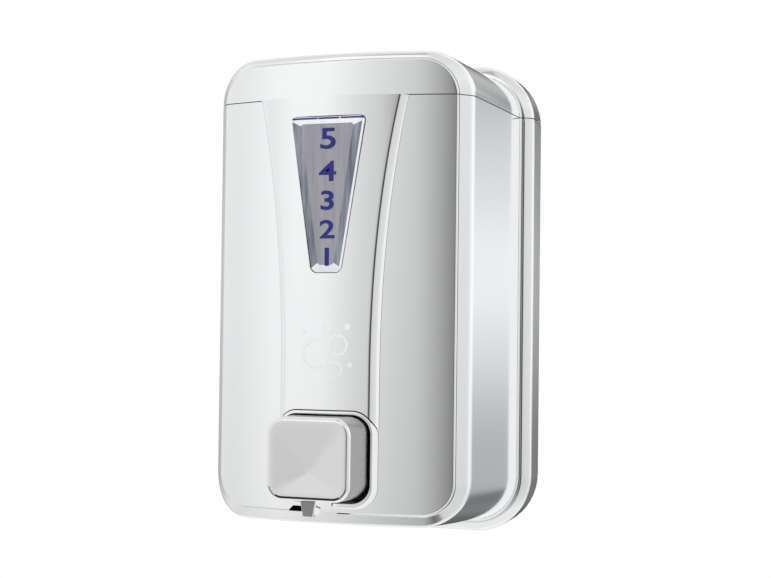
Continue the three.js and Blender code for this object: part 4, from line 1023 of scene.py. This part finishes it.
def make_window():
    flange, opening = window_outline(WINDOW_FLANGE), window_outline(0)
    flange_front, top = WINDOW.back + WINDOW_FLANGE_THICKNESS, WINDOW.front
    window = loft("window_block", [
        at(flange, bowed(WINDOW.back)), at(flange, bowed(flange_front)), at(opening, bowed(flange_front)),
        at(opening, flat(top - WINDOW_BEVEL_DEPTH)), at(window_face_outline(), flat(top)),
    ])
    dress(window, "casing", "clear_window", [WINDOW_FACE, WINDOW_SIDE_DARK_REFLECTION, WINDOW_END_HIGHLIGHT], "level_window",
          sharp=WINDOW_SHARP)
    inner_low, inner_high = WINDOW_BOTTOM + WINDOW_END_BEVEL, WINDOW_TOP - WINDOW_END_BEVEL
    # Side bevels get the painted dark reflection, and the bevels at the top and the bottom the painted
    # highlight
    for face in window.data.polygons:
        middle = face.center / MM
        if -middle.y < top - WINDOW_BEVEL_DEPTH - FACE_TOLERANCE:
            continue
        if face.normal.y < -WINDOW_FACE_TURN:
            face.material_index = 0
        elif middle.z > inner_high or middle.z < inner_low:
            face.material_index = 2
        else:
            face.material_index = 1


# Level numbers: (number, height of its middle, letter size)
DIGITS = (("5", 62.1, 11.9), ("4", 48.7, 11.4), ("3", 36.8, 10.8), ("2", 25.0, 10.4), ("1", 13.8, 10.2))
DIGIT_X = 0.6
DIGIT_STRETCH = 1.35
DIGIT_WEIGHT = 0.2
DIGIT_THICKNESS = 0.12
# Printed dashes along the window's top edge, as (left, right), and a painted highlight: a pale line down its
# right edge
TOP_DASHES = ((-15.8, -4.6), (-4.2, 5.0), (5.6, 15.8))
TOP_DASH_HEIGHTS = (70.65, 71.35)
EDGE_HIGHLIGHT_WIDTH = 0.9
EDGE_HIGHLIGHT_ENDS = (9.4, 69.9)
PRINT_SINK = 1.2
PRINT_LIFT = 0.62


def make_digits():
    """Level numbers, five at the top and one at the bottom."""
    for number, height, size in DIGITS:
        letter = bpy.data.curves.new(f"level_number_{number}", "FONT")
        letter.body = number
        letter.size = size * MM
        letter.offset = DIGIT_WEIGHT * MM
        letter.extrude = DIGIT_THICKNESS * MM
        letter.align_x = "CENTER"
        letter.align_y = "CENTER"
        piece = placed(letter.name, letter)
        stretch = Matrix.Diagonal((DIGIT_STRETCH, 1, 1, 1))
        piece.matrix_world = (Matrix.Translation((DIGIT_X * MM, -WINDOW.front * MM, height * MM))
                              @ Matrix.Rotation(pi / 2, 4, "X") @ stretch)
        bpy.context.view_layer.update()
        shape = shape_of(piece)
        shape.transform(piece.matrix_world)
        name = piece.name
        bpy.data.objects.remove(piece)
        printed = placed(name, shape)
        printed.data.materials.clear()
        printed.data.materials.append(BLUE_PRINT)
        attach(printed, "casing")


def make_window_lines():
    """The printed dashes, and a painted highlight: a pale line at the window's right edge."""
    back, front = WINDOW.front - PRINT_SINK, WINDOW.front - PRINT_LIFT
    for i, (left, right) in enumerate(TOP_DASHES):
        dash = block(f"window_dash_{i}", left, right, back, front, *TOP_DASH_HEIGHTS)
        dress(dash, "casing", "clear_window", BLUE_PRINT)
    lean = (WINDOW_HALF_TOP - WINDOW_HALF_BOTTOM) / (WINDOW_TOP - WINDOW_BOTTOM)
    ends = [(WINDOW_HALF_BOTTOM + lean * (z - WINDOW_BOTTOM), z) for z in EDGE_HIGHLIGHT_ENDS]
    corners = [(x - EDGE_HIGHLIGHT_WIDTH, z) for x, z in ends] + ends[::-1]
    # The pale line is a painted highlight in the print's white
    dress(prism("window_edge_painted_highlight", corners, back, front), "casing", "clear_window", WHITE_PRINT_AND_HIGHLIGHT)


# Bubble mark: (x, z, radius, line width), with a line width of 0 for a filled dot
BUBBLES = (
    (-4.2, -25.5, 6.2, 1.1), (5.6, -21.6, 4.4, 1.0), (4.4, -31.6, 3.4, 0.9),
    (0.6, -14.8, 2.2, 0.8), (9.6, -14.2, 1.3, 0), (-9.6, -16.4, 1.1, 0), (10.8, -29.6, 1.0, 0),
)
MARK_THICKNESS = 0.08
MARK_GAP = 0.01


def make_bubble_mark():
    points, faces = [], []
    for x, z, radius, width in BUBBLES:
        start = len(points)
        inner = radius - width if width else 0
        for k in range(ROUND_STEPS):
            angle = k / ROUND_STEPS * 2 * pi
            for reach, lift in ((inner, 0), (radius, 0), (radius, 1), (inner, 1)):
                px, pz = x + reach * cos(angle), z + reach * sin(angle)
                points.append((px, strap_bowed(STRAP_DEPTH)(px) + MARK_GAP + lift * MARK_THICKNESS, pz))
        for k in range(ROUND_STEPS):
            here, there = start + 4 * k, start + 4 * ((k + 1) % ROUND_STEPS)
            for j in range(4):
                n = (j + 1) % 4
                faces.append((here + j, there + j, there + n, here + n))
    mark = as_object("bubble_mark", points, faces)
    dress(mark, "casing", "plated_shell", WHITE_PRINT_AND_HIGHLIGHT)


# Button and nozzle

def make_button():
    """A deep cup with a shallow dish in its face: satin face, polished edge, brushed sides darkened as
    painted shade, and a painted shade line along the lower edge of the face.
    """
    inside = BUTTON.front - FACE_THICKNESS
    rings = [at(button_outline(BUTTON_WALL), flat(depth)) for depth in (inside, BUTTON.back)]
    rings += [at(button_back_outline(BUTTON_BACK_ROUND * (1 - around)),
                 flat(BUTTON.back + BUTTON_BACK_ROUND * along)) for along, around in quarter(SMALL_STEPS)]
    rings += rolled(button_outline, flat, BUTTON.front, BUTTON_EDGE_ROUND)
    edge = button_outline(DISH_MARGIN)
    half_width = BUTTON_HALF - DISH_MARGIN
    low, high = BUTTON.low + DISH_MARGIN, BUTTON.high - DISH_MARGIN
    middle = low + (high - low) * DISH_LOW_SHARE
    for i in range(DISH_RINGS):
        share = 1 - i / DISH_RINGS
        ring = []
        for x, z in edge:
            across, over = x * share, (z - middle) * share
            reach = high - middle if over > 0 else middle - low
            slope = ((abs(across) / half_width) ** DISH_SHARPNESS
                     + (abs(over) / reach) ** DISH_SHARPNESS) ** (1 / DISH_SHARPNESS)
            ring.append((across, BUTTON.front - DISH_DEPTH * (1 - min(slope, 1)), middle + over))
        rings.append(ring)
    button = loft("button_cap", rings)
    cut(button, block("nozzle_hole", NOZZLE.left - FIT_GAP, NOZZLE.right + FIT_GAP, NOZZLE.back - FIT_GAP,
                      NOZZLE.front + FIT_GAP, BUTTON.low - OVERRUN, NOZZLE.high + FIT_GAP))
    dress(button, "button", "satin_silver", [SATIN, CHROME, BRUSHED_PAINTED_SHADE, PAINTED_SHADE_LINE], "push_button")
    for face in button.data.polygons:
        depth = -face.center.y / MM
        turned_front = -face.normal.y
        # The sides get the brushed metal that is darkened as painted shade
        if depth < BUTTON.front - BUTTON_EDGE_ROUND:
            face.material_index = 2
        # Faces at the lower edge of the face that turn down get the painted shade line
        elif face.normal.z < -BUTTON_SHADE_LINE_TURN and turned_front > BUTTON_SHADE_LINE_END:
            face.material_index = 3
        elif turned_front < BUTTON_FACE_TURN:
            face.material_index = 1
        else:
            face.material_index = 0


NOZZLE_BORE = 1.5
NOZZLE_ROUND = 0.8
NOZZLE_FACE_TURN = 0.9
NOZZLE_TIP_HALF = 2.35
NOZZLE_TAPER = 0.5


def make_nozzle():
    rings = []
    half = NOZZLE.right
    for z, width, taper in ((NOZZLE.high, half, 0), (BUTTON.low, half, 0),
                            (NOZZLE.low, NOZZLE_TIP_HALF, NOZZLE_TAPER)):
        back, front = NOZZLE.back + taper, NOZZLE.front
        corners = [(-width, back), (width, back), (width, front), (-width, front)]
        ring = []
        for i, corner in enumerate(corners):
            ring += arc_corner(corners[i - 1], corner, corners[(i + 1) % 4], NOZZLE_ROUND, SMALL_STEPS)
        rings.append([(x, depth, z) for x, depth in ring])
    nozzle = loft("nozzle_tip", rings, "faces")
    centre = (NOZZLE.front + NOZZLE.back) / 2
    cut(nozzle, post("bore", NOZZLE_BORE, NOZZLE.low - OVERRUN, NOZZLE.high + OVERRUN, 0, centre))
    dress(nozzle, "button", "grey_plastic", [GREY_PLASTIC, CHROME], "nozzle")
    for face in nozzle.data.polygons:
        face.material_index = 0 if -face.normal.y > NOZZLE_FACE_TURN else 1


# Lock, wall plate and tank

def make_lock():
    bore, ring_high = PLUG.right + FIT_GAP, BARREL.high
    seat = STRAP_TOP + FIT_GAP
    flange = BARREL.right
    profile = [(bore, BARREL.low), (BARREL_RADIUS, BARREL.low), (BARREL_RADIUS, seat), (flange, seat)]
    profile += [(flange - BARREL_ROUND * along, ring_high - BARREL_ROUND * (1 - around))
                for along, around in quarter()]
    profile += [(bore + BARREL_ROUND / 2, ring_high), (bore, ring_high - BARREL_ROUND / 2)]
    barrel = turned("lock_rose", profile, 0, LOCK_DEPTH)
    dress(barrel, "lid", "bright_steel", CHROME, "lock_barrel")


def make_wall_plate():
    steps = ((PLATE_BEVEL, 0), (0, PLATE_BEVEL), (0, PLATE_THICKNESS - PLATE_BEVEL),
             (PLATE_BEVEL, PLATE_THICKNESS))
    board = loft("back_plate", [at(plate_outline(inset), flat(depth)) for inset, depth in steps])
    through = -OVERRUN, PLATE_THICKNESS + OVERRUN
    for x, z in PLATE_HOLES:
        cut(board, rod("plate_hole", PLATE_HOLE_RADIUS, *through, x, z))
    cut(board, rod("plate_hole", SCREW_HOLE, *through, 0, SCREW_HEIGHT))
    for side in (-1, 1):
        left, right = side * HANGER_X - HANGER_HALF, side * HANGER_X + HANGER_HALF
        add(board, block("hanger_stem", left, right, PLATE_THICKNESS - HANGER_LAP,
                         PLATE.front - HANGER_LAP, *HANGER_STEM))
        add(board, block("hanger_lip", left, right, PLATE.front - HANGER_LIP, PLATE.front, *HANGER_HOOK))
    dress(board, "casing", "white_plastic", WHITE_PLASTIC, "wall_plate")


# Carried-over nodes keep their shape and get their finish
NODE_FINISHES = {
    "steel": (STEEL, ("body_screw", "lock_plug", "lock_cam", "cam_screw", "bracket_screw_left",
                      "bracket_screw_right", "inlet_ball", "return_spring")),
    "brass": (BRASS, ("lock_nut",)),
    "rubber": (RUBBER, ("window_gasket", "coupling_sleeve", "valve_seat")),
    "white": (WHITE_PLASTIC, ("pump_housing", "housing_cap", "pump_stem", "foam_cartridge")),
    "grey": (GREY_PLASTIC, ("housing_nut", "pump_bracket", "foam_duct")),
    "milky": (MILKY_PLASTIC, ("reservoir", "inlet_tube", "air_piston", "liquid_piston")),
}


def finish_nodes():
    for finish, names in NODE_FINISHES.values():
        for name in names:
            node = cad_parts[name]
            node.data.materials.clear()
            node.data.materials.append(finish)


# Stage, light and camera

def tone_ramp(tree, fac, stops, low, high, tint=(1, 1, 1), blend="LINEAR"):
    """A colour ramp over a range of degrees; stops are (degrees, brightness)."""
    spread = new_node(tree, "ShaderNodeMapRange", From_Min=low, From_Max=high, Value=fac)
    colours = [((degrees - low) / (high - low), (*(tone * part for part in tint), 1))
               for degrees, tone in stops]
    return colour_ramp(tree, spread.outputs["Result"], colours, blend)


# What the chrome sees: brightness by compass direction, 0 straight out from the wall and 90 to
# the right, then by height in degrees, in front and at the sides. The room behind the wall plane is
# a bright band, and straight up or down the compass direction no longer counts.
ROUND_TONES = (
    (-180, 0.42), (-172, 0.25), (-164, 0.25), (-156, 0.5), (-123, 0.60), (-108, 0.69), (-97, 0.785),
    (-87, 0.87), (-78, 0.93), (-62, 0.88), (-54, 0.85), (-40, 0.98), (-24, 0.95), (-12, 0.80),
    (-4, 0.71), (3, 0.64), (8, 0.49), (13, 0.30), (18, 0.06), (28, 0.05), (35, 0.70), (60, 0.77),
    (95, 0.82), (112, 1.0), (122, 1.1), (135, 1.06), (150, 1.0), (164.9, 1.0), (166.8, 0.45),
    (171, 0.38), (180, 0.42),
)
HEIGHT_TONES = (
    (-90, 0.9), (-44, 0.88), (-36, 0.7), (-24, 0.68), (-18, 0.75), (-12, 0.87), (0, 1.0), (9, 1.05),
    (25, 1.12), (48, 1.12), (58, 0.6), (70, 0.5), (90, 0.5),
)
SIDE_HEIGHT_TONES = (
    (-90, 0.9), (-50, 0.9), (-30, 0.82), (-8, 0.92), (0, 1.0), (9, 1.03), (30, 1.0), (50, 0.8), (90, 0.75),
)
SIDE_MASK = ((-180, 1), (-40, 1), (-30, 0), (4, 0), (18, 1), (180, 1))
BAND_TONES = (
    (-90, 0.9), (-50, 1.4), (-30, 1.1), (-24, 0.5), (-19, 0.40), (-12, 0.47), (-8, 0.48), (-6.5, 0.49),
    (-5, 0.49), (-4.4, 0.50), (-3.2, 0.567), (-2, 0.688), (-0.8, 0.795), (0.4, 0.88), (1.2, 0.95),
    (2.9, 0.963), (3.5, 0.946), (4.7, 0.86), (5.9, 0.785), (7.1, 0.715), (8.3, 0.628), (9, 0.57),
    (10, 0.47), (14, 0.6), (20, 1.3), (28, 1.5), (42, 1.5), (90, 0.6),
)
BAND_TINT = (0.965, 0.985, 1.0)
BAND_MASK = ((-180, 1), (-150, 1), (-120, 0), (120, 0), (146, 1), (180, 1))
STEEP_MASK = ((0, 0), (15, 0), (45, 1), (90, 1))
WHITE = (1, 1, 1, 1)
# Chrome that sees chrome: one more bounce sees a pale room, and any deeper one a dark gap.
BOUNCE_TONES = ((0, 1.03), (0.5, 1.03), (0.51, 0.04), (1, 0.04))


def seen_directly(tree):
    """Sees only what the camera sees, or sees through a clear piece."""
    rays = new_node(tree, "ShaderNodeLightPath")
    return math_node(tree, "MAXIMUM", rays.outputs["Is Camera Ray"], rays.outputs["Is Transmission Ray"])


def make_world():
    world = bpy.data.worlds.new("studio")
    world.use_nodes = True
    bpy.context.scene.world = world
    tree = world.node_tree
    tree.nodes.clear()
    direction = new_node(tree, "ShaderNodeTexCoord")
    split = new_node(tree, "ShaderNodeSeparateXYZ", Vector=direction.outputs["Generated"])
    front = math_node(tree, "MULTIPLY", split.outputs["Y"], -1)
    around = math_node(tree, "MULTIPLY", math_node(tree, "ARCTAN2", split.outputs["X"], front), 180 / pi)
    height = math_node(tree, "MULTIPLY", math_node(tree, "ARCSINE", split.outputs["Z"]), 180 / pi)

    def by_direction(stops):
        return tone_ramp(tree, around, stops, -180, 180)

    def by_height(stops, *more):
        return tone_ramp(tree, height, stops, -90, 90, *more)

    steep = tone_ramp(tree, math_node(tree, "ABSOLUTE", height), STEEP_MASK, 0, 90)
    tones = blend_tones(tree, "MIX", steep, by_direction(ROUND_TONES), WHITE)
    heights = blend_tones(tree, "MIX", by_direction(SIDE_MASK), by_height(HEIGHT_TONES),
                          by_height(SIDE_HEIGHT_TONES))
    open_room = blend_tones(tree, "MULTIPLY", 1, tones, heights)
    band = blend_tones(tree, "MULTIPLY", 1, by_height(BAND_TONES, BAND_TINT, "CARDINAL"), tones)
    room = blend_tones(tree, "MIX", by_direction(BAND_MASK), open_room, band)
    rays = new_node(tree, "ShaderNodeLightPath")
    bounces = math_node(tree, "SUBTRACT", rays.outputs["Glossy Depth"], 2)
    again = math_node(tree, "GREATER_THAN", bounces, -0.5)
    room = blend_tones(tree, "MIX", again, room, tone_ramp(tree, bounces, BOUNCE_TONES, 0, 1))
    plain = blend_tones(tree, "MIX", rays.outputs["Is Glossy Ray"], AMBIENT, room)
    colour = blend_tones(tree, "MIX", seen_directly(tree), plain, WHITE)
    background = new_node(tree, "ShaderNodeBackground", Color=colour)
    new_node(tree, "ShaderNodeOutputWorld", Surface=background.outputs["Background"])


AMBIENT = (0.72, 0.73, 0.74, 1)
FLOOR_DROP = 0.55
FLOOR_SIZE = 8
FLOOR_COLOUR = (0.85, 0.85, 0.85, 1)
FLOOR_ROUGHNESS = 0.7


def make_floor():
    mesh = bpy.data.meshes.new("floor")
    low = cad_bounds[0][2] - FLOOR_DROP
    left, right = -FLOOR_SIZE / 2, FLOOR_SIZE / 2
    mesh.from_pydata([(left, left, low), (right, left, low), (right, right, low), (left, right, low)], [],
                     [(0, 1, 2, 3)])
    floor = placed("floor", mesh)
    finish, tree, shader = new_finish("pale_floor")
    feed_all(shader, Base_Color=FLOOR_COLOUR, Roughness=FLOOR_ROUGHNESS)
    glow = new_node(tree, "ShaderNodeEmission")
    mix = new_node(tree, "ShaderNodeMixShader", Fac=seen_directly(tree))
    feed(mix.inputs[1], shader.outputs["BSDF"])
    feed(mix.inputs[2], glow.outputs["Emission"])
    feed(tree.nodes["Material Output"].inputs["Surface"], mix.outputs["Shader"])
    mesh.materials.append(finish)
    floor.visible_glossy = False


# Lamps: (name, place, size, power). They light the part and aren't seen in it.
LAMPS = (("key_lamp", (-0.9, -1.6, 1.3), 1.2, 9), ("fill_lamp", (1.3, -1.2, 0.6), 1.0, 4))


def make_lamps():
    for name, place, size, power in LAMPS:
        light = bpy.data.lights.new(name, "AREA")
        light.energy = power
        light.size = size
        lamp = placed(name, light)
        lamp.location = place
        lamp.rotation_euler = (-Vector(place)).to_track_quat("-Z", "Y").to_euler()
        lamp.visible_glossy = False
        lamp.visible_camera = False


CAMERA_PLACE = (0.2364, -0.6657, -0.01565)
CAMERA_RIGHT = (0.93687, 0.34948, 0.012)
CAMERA_UP = (-0.00148, -0.03035, 0.99954)
CAMERA_FORWARD = (-0.34968, 0.93645, 0.02792)
CAMERA_LENS = 70.04
CAMERA_SENSOR = 36
CAMERA_NEAR = 0.01


def make_camera():
    data = bpy.data.cameras.new("camera")
    data.lens = CAMERA_LENS
    data.sensor_width = CAMERA_SENSOR
    data.clip_start = CAMERA_NEAR
    camera = placed("camera", data)
    turn = Matrix((CAMERA_RIGHT, CAMERA_UP, -Vector(CAMERA_FORWARD))).transposed()
    camera.matrix_world = Matrix.Translation(CAMERA_PLACE) @ turn.to_4x4()
    bpy.context.scene.camera = camera


for make in (make_camera, make_world, make_floor, make_lamps, make_casing, make_panels, make_strap,
             make_lid_strap, make_bezel, make_window, make_digits, make_window_lines, make_bubble_mark,
             make_button, make_nozzle, make_lock, make_wall_plate, finish_nodes):
    make()

bpy.context.scene.view_settings.view_transform = "Standard"

bpy.context.view_layer.update()
